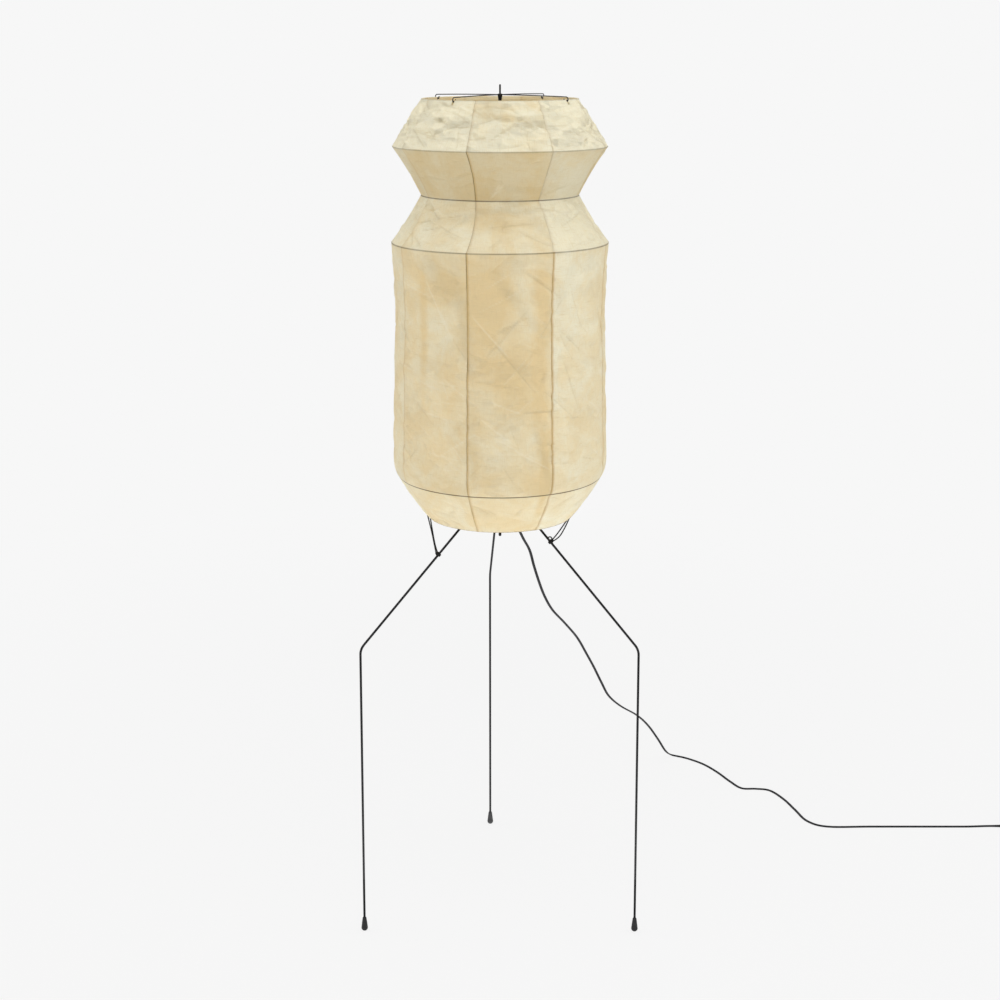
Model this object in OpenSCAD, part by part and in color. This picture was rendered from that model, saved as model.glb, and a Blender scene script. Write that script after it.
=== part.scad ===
// Paper lantern floor lamp on a three-legged rod stand.
// Eight lapped paper gores make a tall waisted shade over six steel wire hoops.
// Four sprung arms on the mast's tip carry the top hoop, three cord ties hold
// the bottom hoop down to the bent rod legs, and the lampholder stands beside
// the mast inside the shade. Sizes are in millimetres and +Z is up. The origin
// is on the floor, at the middle of the lamp's own footprint.

/* [Legs] */
// Diameter of the leg rod
leg_rod_d = 4; // [3:0.5:6]
// Radius of the circle through the feet
foot_circle_r = 280; // [250:5:320]
// Radius of the circle through the knees
knee_circle_r = 276; // [246:5:316]
// Height of the knees
knee_z = 526; // [480:5:560]
// Height at which the upper rods aim at the mast's axis
leg_apex_z = 784; // [774:2:796]
// Centreline radius of the knee bend
knee_bend_r = 22; // [12:1:40]
// Direction of the left leg, in degrees from +X towards +Y
left_az = -148.7; // [-155:0.1:-140]
// Direction of the right leg
right_az = -32; // [-40:0.1:-25]
// Direction of the rear leg
rear_az = 94; // [85:0.1:100]

/* [Foot caps] */
// Widest diameter of a foot cap
foot_cap_d = 11.5; // [9:0.5:16]
// Height of a foot cap
foot_cap_h = 25; // [18:1:35]
// Wall of a foot cap at its mouth
foot_cap_lip = 1.4; // [0.8:0.1:2]
// Rubber under the end of the rod
foot_cap_sole = 3; // [2:0.5:6]
// Depth that the round bottom is cut flat by
foot_cap_cut = 0.6; // [0.3:0.1:1.2]

/* [Hub] */
// Diameter of the hub collar
hub_d = 20; // [18:1:26]
// Distance of the leg flats from the mast's axis
hub_flat_r = 8; // [6:0.5:8.5]
// Length of the hub collar
hub_len = 24; // [18:1:34]
// Chamfer on the ends of the hub collar
hub_chamfer = 1; // [0.5:0.1:2]

/* [Mast] */
// Diameter of the mast
mast_d = 5; // [4:0.5:6]
// Height of the mast's rounded lower end
mast_bottom_z = 683; // [640:5:720]
// Height of the shoulder that carries the spreader boss, from which the shade hangs
mast_shoulder_z = 1423.5; // [1415:0.5:1430]
// Diameter of the pin above the shoulder
mast_pin_d = 3; // [2:0.1:3.4]
// Length of the pin above the shoulder
mast_pin_len = 26.5; // [20:0.5:48]

/* [Spreader] */
// Diameter of the spreader arm wire
arm_wire_d = 1.6; // [1.2:0.1:2]
// Diameter of the spreader boss
boss_d = 7.6; // [7:0.2:10]
// Height of the spreader boss
boss_h = 11.5; // [9:0.5:14]
// Distance of the arms below the boss's top
arm_drop = 1.6; // [1.2:0.1:3]
// Fall of an arm's wire from the boss to its eye
arm_fall = 1.6; // [1.2:0.2:4]
// Centreline radius of the eye at an arm's end
arm_eye_r = 3.8; // [3.2:0.1:4.4]
// Part of a turn that an eye is bent through, in degrees
arm_eye_turn = 285; // [270:5:290]
// Direction of the first arm
arm_az = 55.5; // [50:0.5:60]

/* [Hoops] */
// Diameter of the hoop wire
hoop_wire_d = 1.8; // [1.2:0.1:2.4]
// Radius of the top hoop
hoop_top_r = 127.5; // [115:0.5:140]
// Radius of the shoulder hoop
hoop_shoulder_r = 175.6; // [160:0.5:195]
// Drop from the top hoop to the shoulder hoop
top_tier_h = 75; // [62:0.2:90]
// Radius of the waist hoop
hoop_waist_r = 128.8; // [115:0.5:145]
// Drop from the shoulder hoop to the waist hoop
neck_tier_h = 78.6; // [68:0.2:90]
// Radius of the hoop at the top of the body
hoop_chest_r = 179.2; // [165:0.5:195]
// Drop from the waist hoop to the hoop at the top of the body
chest_tier_h = 77.5; // [66:0.5:88]
// Radius of the hoop at the bottom of the body
hoop_hip_r = 173.8; // [160:0.5:190]
// Height of the body between its two hoops
body_h = 396; // [385:0.5:406]
// Radius of the bottom hoop
hoop_base_r = 125; // [115:0.5:135]
// Drop from the body to the bottom hoop
base_tier_h = 72; // [67:0.5:80]

/* [Paper] */
// Thickness of the paper
paper_t = 0.3; // [0.2:0.05:0.4]
// Direction of the first seam
seam_az = -151.5; // [-156:0.5:-149]
// Width of the glued lap at the seams, on the body
lap_w = 4; // [3:0.5:8]
// Outward bow of the paper in the top tier
bow_top = 0.5; // [0:0.5:8]
// Inward bow of the paper above the waist
bow_neck = 2; // [0:0.5:4]
// Inward bow of the paper below the waist
bow_chest = 2; // [0:0.5:4]
// Inward sag of the body's upper half
body_sag = 3.5; // [0:0.5:6]
// Outward belly low on the body
body_belly = 7; // [0:0.5:9]
// Outward bow of the paper in the bottom tier
bow_base = 2; // [0:0.5:5]
// Length of the hem turned in at the mouths
hem_len = 7; // [4:0.5:10]

/* [Ties] */
// Diameter of the tie cord
tie_d = 1.2; // [0.8:0.1:1.6]
// Distance of the left and rear knots from the mast's axis
tie_knot_r = 123; // [114:1:130]
// Distance of the right tie's knot from the mast's axis
right_knot_r = 102; // [96:1:112]
// Angle round the bottom hoop from the left and rear legs to their ties
tie_step = 20; // [15:1:22]
// Angle round the bottom hoop from the right leg to its tie
right_tie_step = 10; // [8:1:13]
// Diameter of a tie's knot
tie_knot_d = 5; // [4:0.5:7]

/* [Lampholder] */
// Distance of the lampholder from the mast's axis
holder_offset = 38; // [36:1:44]
// Direction of the lampholder from the mast
holder_az = 40; // [30:1:50]
// Height of the bracket arm's underside
bracket_z = 930; // [900:5:960]
// Thickness of the bracket arm
bracket_t = 2; // [1.5:0.5:4]
// Diameter of the eyes at the ends of the bracket arm
bracket_w = 16; // [13:1:20]
// Diameter of the bracket's collar on the mast
bracket_collar_d = 14; // [12:1:16]
// Height of the bracket's collar
bracket_collar_h = 14; // [12:1:20]
// Outer diameter of the threaded nipple
nipple_d = 10; // [9:0.5:12]
// Bore of the threaded nipple
nipple_bore_d = 7; // [6:0.5:8]
// Diameter of the lampholder's shell
shell_d = 37; // [36:0.5:40]
// Height of the lampholder's shell
shell_h = 50; // [46:1:60]
// Wall of the shell and of its cap
shell_t = 0.8; // [0.5:0.1:1.2]
// Thickness of the insulating liner
liner_t = 0.8; // [0.5:0.1:1.2]
// Height of the dished cap under the shell
cap_h = 17; // [14:1:22]
// Height of the insulating core
core_h = 24; // [20:1:26]
// Inner diameter of the threaded contact shell
screw_shell_bore_d = 27.2; // [27:0.1:27.8]

/* [Switch knob] */
// Diameter of the knob's shaft
knob_shaft_d = 4; // [3:0.5:5]
// Diameter of the fluted knob
knob_d = 11; // [9:0.5:14]
// Length of the fluted knob
knob_len = 12; // [9:0.5:15]
// Number of flutes round the knob
knob_flutes = 12; // [8:1:16]

/* [Bulb] */
// Diameter of the bulb's threaded cap
bulb_cap_d = 26.2; // [26:0.1:26.4]
// Length of the cap's metal shell
bulb_cap_h = 18; // [16:1:22]
// Widest diameter of the glass
bulb_d = 60; // [50:1:62]
// Height of the glass above the cap
bulb_glass_h = 84; // [76:1:95]

/* [Cord] */
// Width of the flat twin cord
cord_w = 5.4; // [4.6:0.2:6]
// Thickness of the flat twin cord
cord_t = 2.8; // [2.4:0.2:3.2]
// Length of the tapered strain relief
relief_len = 26; // [20:1:40]
// Turns in each of the stored coil's two layers
coil_turns = 2.25; // [1.25:0.5:3.25]
// Inner centreline radius of the stored coil
coil_inner_r = 25; // [24:1:32]
// Length of the plug's moulded body
plug_len = 34; // [28:1:40]
// Width of the plug's moulded body
plug_w = 24; // [22:1:28]
// Thickness of the plug's moulded body
plug_t = 15; // [12:1:18]

/* [Hidden] */
$fn = 48;

// Clearances
snug = 0.05;        // between a rod and the hole it is pushed into
running = 0.06;     // round the knob's turning shaft
glue = 0.15;        // between glued papers, and between paper and wire
seat = 0.3;         // between pieces that only rest against each other
slot_gap = 1.2;     // round an eye or a tie where the hem is notched
bend_swell = 0.02;  // a bend is this much fuller than the rod that runs into it
bend_grip = 0.3;    // length of rod inside the end of a bend
screw_d = 3;        // diameter of the two set screws
screw_len = 4;      // length of the two set screws
screw_socket = 1.5; // width and depth of their hexagon sockets
tip_bed = 0.6;      // brass between the mast's pin and an arm's end
eye_grip = 0.1;     // length of an arm inside the start of its eye
rim_round = 0.6;    // bevel of the boss's edge

// The mast's axis, so that the footprint of the lamp is centred on the origin
foot_reach = foot_cap_d / 2;
shade_reach = hoop_hip_r + body_belly + hoop_wire_d;
axis_x = -(max(foot_circle_r * cos(right_az) + foot_reach, shade_reach)
    + min(foot_circle_r * cos(left_az) - foot_reach, -shade_reach)) / 2;
axis_y = -(foot_circle_r * sin(rear_az) + foot_reach
    + min(foot_circle_r * sin(left_az) - foot_reach, -shade_reach)) / 2;

gore_count = 8;

// The arms fall from the boss to their eyes, which hook under the top hoop
boss_top_z = mast_shoulder_z + boss_h;
arm_z = boss_top_z - arm_drop;
arm_eye_z = arm_z - arm_fall - arm_eye_r;
hoop_top_z = arm_eye_z - arm_eye_r + arm_wire_d / 2 + hoop_wire_d / 2 + seat;

// Hoops from the top down, as [radius, height]
hoop_shoulder_z = hoop_top_z - top_tier_h;
hoop_waist_z = hoop_shoulder_z - neck_tier_h;
hoop_chest_z = hoop_waist_z - chest_tier_h;
hoop_hip_z = hoop_chest_z - body_h;
hoop_base_z = hoop_hip_z - base_tier_h;
hoops = [[hoop_top_r, hoop_top_z], [hoop_shoulder_r, hoop_shoulder_z],
    [hoop_waist_r, hoop_waist_z], [hoop_chest_r, hoop_chest_z],
    [hoop_hip_r, hoop_hip_z], [hoop_base_r, hoop_base_z]];

function unit(v) = v / norm(v);
function lerp(a, b, t) = a + (b - a) * t;
function smooth(t) = t * t * (3 - 2 * t);

// ---- rods bent in a vertical plane, in [radius, height] ----

// A straight rod from point a to point b of the plane
module straight_rod(a, b, d) {
    run = b - a;
    translate([a[0], 0, a[1]]) rotate([0, atan2(run[0], run[1]), 0])
        cylinder(d = d, h = norm(run));
}

// A bent stretch of rod: centre, centreline radius and the two position angles
module bent_rod(centre, r, from, to, d) {
    translate([centre[0], 0, centre[1]]) rotate([90, 0, 0]) rotate([0, 0, from])
        rotate_extrude(angle = to - from) translate([r, 0])
            circle(d = d + 2 * bend_swell, $fn = 24);
}

// ---- legs ----

leg_slope = (leg_apex_z - knee_z) / knee_circle_r;
leg_top = [hub_flat_r, leg_apex_z - hub_flat_r * leg_slope];
knee = [knee_circle_r, knee_z];
foot = [foot_circle_r, 0];
shank = unit(foot - knee);
thigh = unit(knee - leg_top);
rod_end = foot - shank * foot_cap_sole;
thigh_dip = atan2(-thigh[1], thigh[0]);
shank_dip = atan2(-shank[1], shank[0]);
knee_tangent = knee_bend_r * tan((shank_dip - thigh_dip) / 2);
knee_in = knee - thigh * knee_tangent;
knee_centre = knee_in + knee_bend_r * [thigh[1], -thigh[0]];

module leg(az) {
    color("#1b1b1d") at_mast(0) rotate([0, 0, az]) {
        intersection() {
            straight_rod(leg_top - thigh * leg_rod_d * 2, knee_in + thigh * bend_grip, leg_rod_d);
            translate([hub_flat_r, -leg_rod_d, 0])
                cube([knee_circle_r, leg_rod_d * 2, leg_apex_z + leg_rod_d]);
        }
        bent_rod(knee_centre, knee_bend_r, 90 - shank_dip, 90 - thigh_dip, leg_rod_d);
        straight_rod(knee + shank * (knee_tangent - bend_grip), rod_end, leg_rod_d);
    }
}

// A soft cap: round bottom cut flat on the floor, long taper, thin mouth
module foot_cap(az) {
    r = foot_cap_d / 2;
    mouth_r = leg_rod_d / 2 + foot_cap_lip;
    round_part = [for (a = [-90:15:15]) [r * cos(a), r + r * sin(a) - foot_cap_cut]];
    outline = concat(round_part, [[lerp(r, mouth_r, 0.62), foot_cap_h * 0.68],
        [mouth_r, foot_cap_h - 1], [mouth_r - 0.5, foot_cap_h], [0, foot_cap_h]]);
    color("#141415") at_mast(0) rotate([0, 0, az]) translate([foot_circle_r, 0, 0])
        difference() {
            rotate([0, atan2(-shank[0], -shank[1]), 0]) difference() {
                rotate_extrude() polygon(outline);
                translate([0, 0, foot_cap_sole])
                    cylinder(d = leg_rod_d + 2 * snug, h = foot_cap_h);
            }
            translate([-r * 2, -r * 2, -r]) cube([r * 4, r * 4, r]);
        }
}

// ---- hub, mast and spreader ----

module at_mast(z) {
    translate([axis_x, axis_y, z]) children();
}

hub_z = leg_top[1] - hub_len / 2;

module hub_collar() {
    color("#1b1b1d") at_mast(hub_z) difference() {
        rotate_extrude() polygon([[mast_d / 2 + snug, 0], [hub_d / 2 - hub_chamfer, 0],
            [hub_d / 2, hub_chamfer], [hub_d / 2, hub_len - hub_chamfer],
            [hub_d / 2 - hub_chamfer, hub_len], [mast_d / 2 + snug, hub_len]]);
        for (az = [left_az, right_az, rear_az]) rotate([0, 0, az])
            translate([hub_flat_r, -hub_d, -1]) cube([hub_d, hub_d * 2, hub_len + 2]);
        rotate([0, 0, hub_screw_az]) screw_hole(hub_d / 2, hub_len / 2);
    }
}

hub_screw_az = (left_az + 360 + rear_az) / 2;
bracket_screw_az = holder_az + 180;

// Radial hole for a set screw that bears on the mast
module screw_hole(outer_r, z) {
    translate([mast_d / 2, 0, z]) rotate([0, 90, 0])
        cylinder(d = screw_d + 2 * snug, h = outer_r);
}

module set_screw(z) {
    translate([mast_d / 2 + snug, 0, z]) rotate([0, 90, 0]) difference() {
        cylinder(d = screw_d, h = screw_len);
        translate([0, 0, screw_len - screw_socket]) cylinder(d = screw_socket, h = screw_len, $fn = 6);
    }
}

module set_screws() {
    color("#3a3a3c") {
        at_mast(hub_z) rotate([0, 0, hub_screw_az]) set_screw(hub_len / 2);
        at_mast(bracket_z) rotate([0, 0, bracket_screw_az]) set_screw(screw_height);
    }
}

module mast() {
    r = mast_d / 2;
    pin_r = mast_pin_d / 2;
    dome = [for (a = [-90:15:0]) [r * cos(a), mast_bottom_z + r + r * sin(a)]];
    tip_z = mast_shoulder_z + mast_pin_len - pin_r;
    tip = [for (a = [0:15:90]) [pin_r * cos(a), tip_z + pin_r * sin(a)]];
    color("#1b1b1d") at_mast(0) rotate_extrude() polygon(concat(dome,
        [[r, mast_shoulder_z], [pin_r, mast_shoulder_z]], tip));
}

boss_r = boss_d / 2;
arm_start_r = mast_pin_d / 2 + tip_bed;

// A turned bead, widest just under its top, that the four arms are set into
module spreader_boss() {
    color("#141415") at_mast(mast_shoulder_z) difference() {
        rotate_extrude() polygon([[mast_pin_d / 2 + snug, 0], [mast_d / 2, 0],
            [boss_r * 0.86, boss_h * 0.4], [boss_r, boss_h * 0.68], [boss_r, boss_h - rim_round],
            [boss_r - rim_round, boss_h], [mast_pin_d / 2 + snug, boss_h]]);
        for (k = [0:3]) rotate([0, 0, arm_az + 90 * k])
            translate([arm_start_r, 0, boss_h - arm_drop]) rotate([0, 90, 0])
                cylinder(d = arm_wire_d + 2 * snug, h = boss_d);
    }
}

// Each arm bows down from the boss to an eye that is bent round the top hoop
arm_bow_r = (hoop_top_r * hoop_top_r + arm_fall * arm_fall) / (2 * arm_fall);
arm_sweep = asin(hoop_top_r / arm_bow_r);
arm_end = [arm_bow_r * sin(arm_sweep), arm_z - arm_bow_r * (1 - cos(arm_sweep))];
arm_eye_centre = arm_end - arm_eye_r * [sin(arm_sweep), cos(arm_sweep)];

module spreader_arm(k) {
    grip_az = eye_grip / arm_bow_r * 180 / PI;
    color("#4a4a50") at_mast(0) rotate([0, 0, arm_az + 90 * (k - 1)]) {
        bent_rod([0, arm_z - arm_bow_r], arm_bow_r, 90 - arm_sweep - grip_az,
            90 - asin(arm_start_r / arm_bow_r), arm_wire_d - 2 * bend_swell);
        bent_rod(arm_eye_centre, arm_eye_r, 90 - arm_sweep - arm_eye_turn,
            90 - arm_sweep, arm_wire_d);
    }
}

// ---- hoops ----

module hoop(k) {
    color("#8b7a58") at_mast(hoops[k][1]) rotate_extrude($fn = 96)
        translate([hoops[k][0], 0]) circle(d = hoop_wire_d, $fn = 16);
}

// ---- paper ----

// A gore shifted this far sideways has one edge proud and the other edge sunk,
// by half a lap each, so that every gore laps over the next one
gore_angle = 360 / gore_count;
lap_angle = lap_w / hoop_chest_r * 180 / PI;
lap_step = paper_t + glue;
gore_shift = lap_step / 2 / sin(gore_angle / 2);
// The paper's mid-surface lies this far from a hoop's centre
wrap_r = hoop_wire_d / 2 + glue + lap_step / 2 + paper_t / 2;

// Upright share of the straight line between hoop k and the next one down
function steep(k) = abs(unit(hoops[k + 1] - hoops[k])[1]);
// How far the paper's kink stands out from the hoop inside it
function kink_lift(k) = wrap_r / min(steep(k - 1), steep(k));
function kink(k) = [hoops[k][0] + kink_lift(k), hoops[k][1]];

// The paper wraps over the end hoops, from outside to the turned-in hem
function wrap_point(k, a) = hoops[k] + wrap_r * [cos(a), sin(a)];

bows = [bow_top, -bow_neck, -bow_chest, 0, bow_base];
tier_steps = 4;
body_steps = 9;

// Points strictly between a and b on a shallow curve bowed by `bow`
function tier_curve(a, b, bow) = let (side = unit([b[1] - a[1], a[0] - b[0]]) * -1)
    [for (i = [1:tier_steps - 1]) let (t = i / tier_steps)
        lerp(a, b, t) + side * bow * 4 * t * (1 - t)];
// The body sags a little under its top hoop and bellies out above its bottom one
function body_curve(a, b) = [for (i = [1:body_steps - 1])
    let (t = 1 - pow(1 - i / body_steps, 1.5))
    lerp(a, b, t) + [body_belly * 1.6 * pow(t, 4) * (1 - pow(t, 24))
        - body_sag * sin(180 * min(1, t * 2)), 0]];

// Outline from the top hem, down the outside, to the bottom hem
function mid_line() = concat(
    [wrap_point(0, 180) - [0, hem_len]],
    [for (a = [180:-50:30]) wrap_point(0, a)],
    tier_curve(wrap_point(0, 30), kink(1), bows[0]), [kink(1)],
    tier_curve(kink(1), kink(2), bows[1]), [kink(2)],
    tier_curve(kink(2), kink(3), bows[2]), [kink(3)],
    body_curve(kink(3), kink(4)), [kink(4)],
    tier_curve(kink(4), wrap_point(5, -30), bows[4]),
    [for (a = [-30:-50:-180]) wrap_point(5, a)],
    [wrap_point(5, 180) + [0, hem_len]]);

// The unit vector square to the line, on its outer side, at point i
function outward(line, i) = let (
    before = unit(line[min(i, len(line) - 2) + 1] - line[min(i, len(line) - 2)]),
    after = unit(line[max(i, 1)] - line[max(i, 1) - 1]), mean = unit(before + after))
    [-mean[1], mean[0]] / max(0.5, before * mean);
// The line moved outwards by a distance
function offset_line(line, d) = [for (i = [0:len(line) - 1]) line[i] + outward(line, i) * d];
function backwards(line) = [for (i = [len(line) - 1:-1:0]) line[i]];

// Notches that let the arms' eyes and the ties reach the end hoops
arm_notch_azs = [for (k = [0:3]) arm_az + 90 * k];
function turns_apart(a, b) = abs((a - b + 900) % 360 - 180);

module hem_notch(az, hoop_at, wire_d, reach) {
    w = wire_d + 2 * slot_gap;
    deep = reach + slot_gap;
    rotate([0, 0, az]) translate([hoop_at[0] - deep, -w / 2, hoop_at[1] - deep])
        cube([2 * deep, w, 2 * deep]);
}

// Ends a gore short of the lap where it turns over a mouth's hoop
module hem_trim(hoop_at, up) {
    rotate([0, 0, gore_angle])
        translate([hoop_at[0] - 2 * wrap_r, -glue, hoop_at[1] + (up ? wrap_r / 2 : -wrap_r * 2.5)])
            cube([4 * wrap_r, 2 * lap_w, 2 * wrap_r]);
}

// One gore: a full-height strip, hemmed over both mouths
module paper_gore(k) {
    line = mid_line();
    mid_az = seam_az + gore_angle * (k - 0.5);
    reach_az = (gore_angle + lap_angle) / 2 + 2;
    color("#e9dcba") at_mast(0) difference() {
        translate(gore_shift * [sin(mid_az), -cos(mid_az), 0])
            rotate([0, 0, mid_az - gore_angle / 2 - lap_angle / 2]) difference() {
                rotate_extrude(angle = gore_angle + lap_angle, $fn = 72) polygon(concat(
                    offset_line(line, paper_t / 2), backwards(offset_line(line, -paper_t / 2))));
                hem_trim(hoops[0], true);
                hem_trim(hoops[5], false);
            }
        for (az = arm_notch_azs) if (turns_apart(az, mid_az) < reach_az)
            hem_notch(az, hoops[0], arm_wire_d, arm_eye_r + arm_wire_d / 2);
        for (az = tie_hoop_azs) if (turns_apart(az, mid_az) < reach_az)
            hem_notch(az, hoops[5], tie_d, tie_eye_r + tie_d / 2);
    }
}

// ---- ties ----

tie_eye_r = hoop_wire_d / 2 + tie_d / 2 + glue;
tie_loop_r = leg_rod_d / 2 + tie_d / 2 + glue;
tie_hoop_azs = [left_az - tie_step, right_az + right_tie_step, rear_az + tie_step];
tie_tail = 12;      // length of the cord's loose end below the knot
tie_lean = 3;       // how far that end leans out from the rod
tie_bite = 0.4;     // gap between the knot's ball and the rod, which the loop bridges
strand_d = tie_d * 0.8; // a drawn strand is thinner than the loops at its ends

// A straight piece of cord between two points
module strand(a, b) {
    run = b - a;
    translate(a) rotate([0, acos(run[2] / norm(run)), atan2(run[1], run[0])])
        cylinder(d = strand_d, h = norm(run), $fn = 16);
}

// A cord looped through the hem, drawn to the leg, taken round it and knotted
module tie(leg_az, hoop_az, knot_r) {
    eye = [hoop_base_r * cos(hoop_az), hoop_base_r * sin(hoop_az), hoop_base_z];
    side = sign(sin(hoop_az - leg_az));
    knot_out = leg_rod_d / 2 + glue + tie_bite + tie_knot_d / 2;
    centre = [knot_r * cos(leg_az), knot_r * sin(leg_az), leg_apex_z - knot_r * leg_slope];
    knot = centre + knot_out * side * [-sin(leg_az), cos(leg_az), 0];
    out = [cos(hoop_az), sin(hoop_az), 0];
    color("#1a1a1a") at_mast(0) {
        translate(eye) rotate([90, 0, hoop_az]) rotate_extrude()
            translate([tie_eye_r, 0]) circle(d = tie_d, $fn = 16);
        translate(centre) rotate([0, 90 + thigh_dip, leg_az]) rotate_extrude()
            translate([tie_loop_r, 0]) circle(d = tie_d, $fn = 16);
        strand(eye - [0, 0, tie_eye_r], knot - [0, 0, tie_knot_d / 4]);
        strand(eye + (out - [0, 0, 1]) * tie_eye_r * sin(45), knot + [0, 0, tie_knot_d / 4]);
        translate(knot) rotate([0, 0, leg_az + 180]) sphere(d = tie_knot_d, $fn = 24);
        strand(knot, knot + [cos(leg_az) * tie_lean, sin(leg_az) * tie_lean, -tie_tail]);
    }
}

// ---- lampholder ----

module at_holder(z) {
    translate([axis_x + holder_offset * cos(holder_az),
        axis_y + holder_offset * sin(holder_az), z]) rotate([0, 0, holder_az]) children();
}

screw_height = -bracket_collar_h / 4;
nipple_below = 16;  // length of the nipple under the bracket arm
nipple_above = 9;   // length of the nipple inside the cap
cap_lap = 3;        // length of the cap's rim inside the shell
core_sink = 1;      // how far the core's spigot stands in the cap
nipple_z = bracket_z - nipple_below;
cap_z = bracket_z + bracket_t;
shell_z = cap_z + cap_h - cap_lap;
core_z = cap_z + cap_h - core_sink;
contact_z = core_z + core_h;
shell_r = shell_d / 2;
liner_r = shell_r - shell_t - snug;
core_r = liner_r - liner_t - snug;
nut_h = 4;
nut_across = 16;    // width of the nut over its corners

bracket_arm_w = bracket_w * 0.7;

// A collar clamped on the mast, with a flat arm between two round eyes
module holder_bracket() {
    color("#1b1b1d") difference() {
        union() {
            at_mast(bracket_z + bracket_t - bracket_collar_h)
                cylinder(d = bracket_collar_d, h = bracket_collar_h);
            at_mast(bracket_z) rotate([0, 0, holder_az])
                translate([0, -bracket_arm_w / 2, 0]) cube([holder_offset, bracket_arm_w, bracket_t]);
            at_mast(bracket_z) cylinder(d = bracket_w, h = bracket_t);
            at_holder(bracket_z) cylinder(d = bracket_w, h = bracket_t);
        }
        at_mast(bracket_z - bracket_collar_h)
            cylinder(d = mast_d + 2 * snug, h = bracket_collar_h * 2);
        at_holder(bracket_z - 1) cylinder(d = nipple_d + 2 * snug, h = bracket_t + 2);
        at_mast(bracket_z) rotate([0, 0, bracket_screw_az])
            screw_hole(bracket_collar_d / 2, screw_height);
    }
}

module holder_nipple() {
    color("#b8a064") at_holder(nipple_z) difference() {
        cylinder(d = nipple_d, h = cap_z + nipple_above - nipple_z);
        translate([0, 0, -1]) cylinder(d = nipple_bore_d, h = cap_z + nipple_above - nipple_z + 2);
    }
}

module nipple_nut() {
    color("#b8a064") at_holder(bracket_z - nut_h) difference() {
        cylinder(d = nut_across, h = nut_h, $fn = 6);
        translate([0, 0, -1]) cylinder(d = nipple_d + 2 * snug, h = nut_h + 2);
    }
}

relief_flange = 3;
relief_stem = 9;    // length of its stem inside the nipple
relief_wall = 0.8;  // vinyl round the cord at its thin end
rib_depth = 0.5;
relief_z = nipple_z - relief_flange - relief_len;

// A moulded plug in the nipple's mouth with a tapered, ribbed tail on the cord
module cord_strain_relief() {
    stem_r = nipple_bore_d / 2 - snug;
    tail_r = cord_w / 2 + relief_wall;
    ribs = 5;
    pitch = relief_len / ribs;
    // Each rib is a ridge over the first 0.6 of its pitch and a groove over the rest
    edges = [0, 0.6, 0.62, 0.98];
    outline = [for (i = [0:ribs - 1], edge = [0:3])
        let (r = lerp(tail_r, nipple_d / 2, (i + edge / 4) / ribs))
        [edge < 2 ? r : r - rib_depth, (i + edges[edge]) * pitch]];
    color("#161617") at_holder(relief_z) rotate_extrude() polygon(concat([[0, 0]], outline,
        [[nipple_d / 2, relief_len], [nipple_d / 2, relief_len + relief_flange],
        [stem_r, relief_len + relief_flange], [stem_r, relief_len + relief_flange + relief_stem],
        [0, relief_len + relief_flange + relief_stem]]));
}

// A dished cap with a threaded neck, which snaps into the shell's lower edge
module holder_cap() {
    neck_r = nipple_d / 2 + 2.2;
    rim_r = shell_r - shell_t - snug;
    color("#171717") at_holder(cap_z) rotate_extrude() polygon([
        [nipple_d / 2 + snug, 0], [neck_r, 0], [neck_r, 5], [rim_r - 4.5, 8], [rim_r - 1.2, 11],
        [shell_r, cap_h - cap_lap - 0.4], [shell_r, cap_h - cap_lap], [rim_r, cap_h - cap_lap],
        [rim_r, cap_h], [rim_r - shell_t, cap_h], [rim_r - shell_t, cap_h - cap_lap - 0.2],
        [rim_r - 2.4, 12],
        [rim_r - 5.3, 9], [neck_r - 0.9, 6.5], [nipple_d / 2 + snug, 6.5]]);
}

module knob_hole(extra) {
    translate([0, 0, knob_z - shell_z]) rotate([0, 90, 0])
        cylinder(d = knob_shaft_d + 2 * extra, h = shell_d);
}

liner_short = 1;
hole_room = 0.4;    // round the knob's shaft in the shell and the liner
bead_h = 2.4;       // height of the shell's rolled rim
bead_out = 0.9;     // how far the rim stands out

// An open-topped sleeve with a rolled rim
module holder_shell() {
    color("#171717") at_holder(shell_z) difference() {
        rotate_extrude() polygon([[shell_r - shell_t, 0], [shell_r, 0],
            [shell_r, shell_h - bead_h], [shell_r + bead_out, shell_h - bead_h * 2 / 3],
            [shell_r + bead_out, shell_h - bead_h / 4], [shell_r, shell_h],
            [shell_r - shell_t, shell_h]]);
        knob_hole(hole_room);
    }
}

// A fibre sleeve that ends a little short of the shell's rim
module holder_liner() {
    top = shell_z + shell_h - cap_z - cap_h - liner_short;
    color("#9c8458") at_holder(cap_z + cap_h) difference() {
        rotate_extrude() polygon([[liner_r - liner_t, seat], [liner_r, seat],
            [liner_r, top], [liner_r - liner_t, top]]);
        translate([0, 0, shell_z - cap_z - cap_h]) knob_hole(hole_room);
    }
}

knob_z = core_z + core_h / 2 + 2;
knob_seat_r = core_r * 0.45;    // depth of the knob's shaft in the core
core_step = 2;                  // width of the core's raised middle ledge
core_top = 4;                   // height of that middle above the ledge

// The insulating core that holds the contacts and the switch's shaft
module holder_core() {
    color("#2a2522") at_holder(core_z) difference() {
        rotate_extrude() polygon([[0, core_sink + seat], [core_r - 1.4, core_sink + seat],
            [core_r, 3], [core_r, core_h - core_top], [core_r - core_step, core_h - core_top],
            [core_r - core_step, core_h], [0, core_h]]);
        translate([knob_seat_r, 0, knob_z - core_z]) rotate([0, 90, 0])
            cylinder(d = knob_shaft_d + 2 * running, h = shell_d);
    }
}

screw_shell_t = 0.5;
screw_shell_h = 20;
screw_shell_flange = 3;

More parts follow.
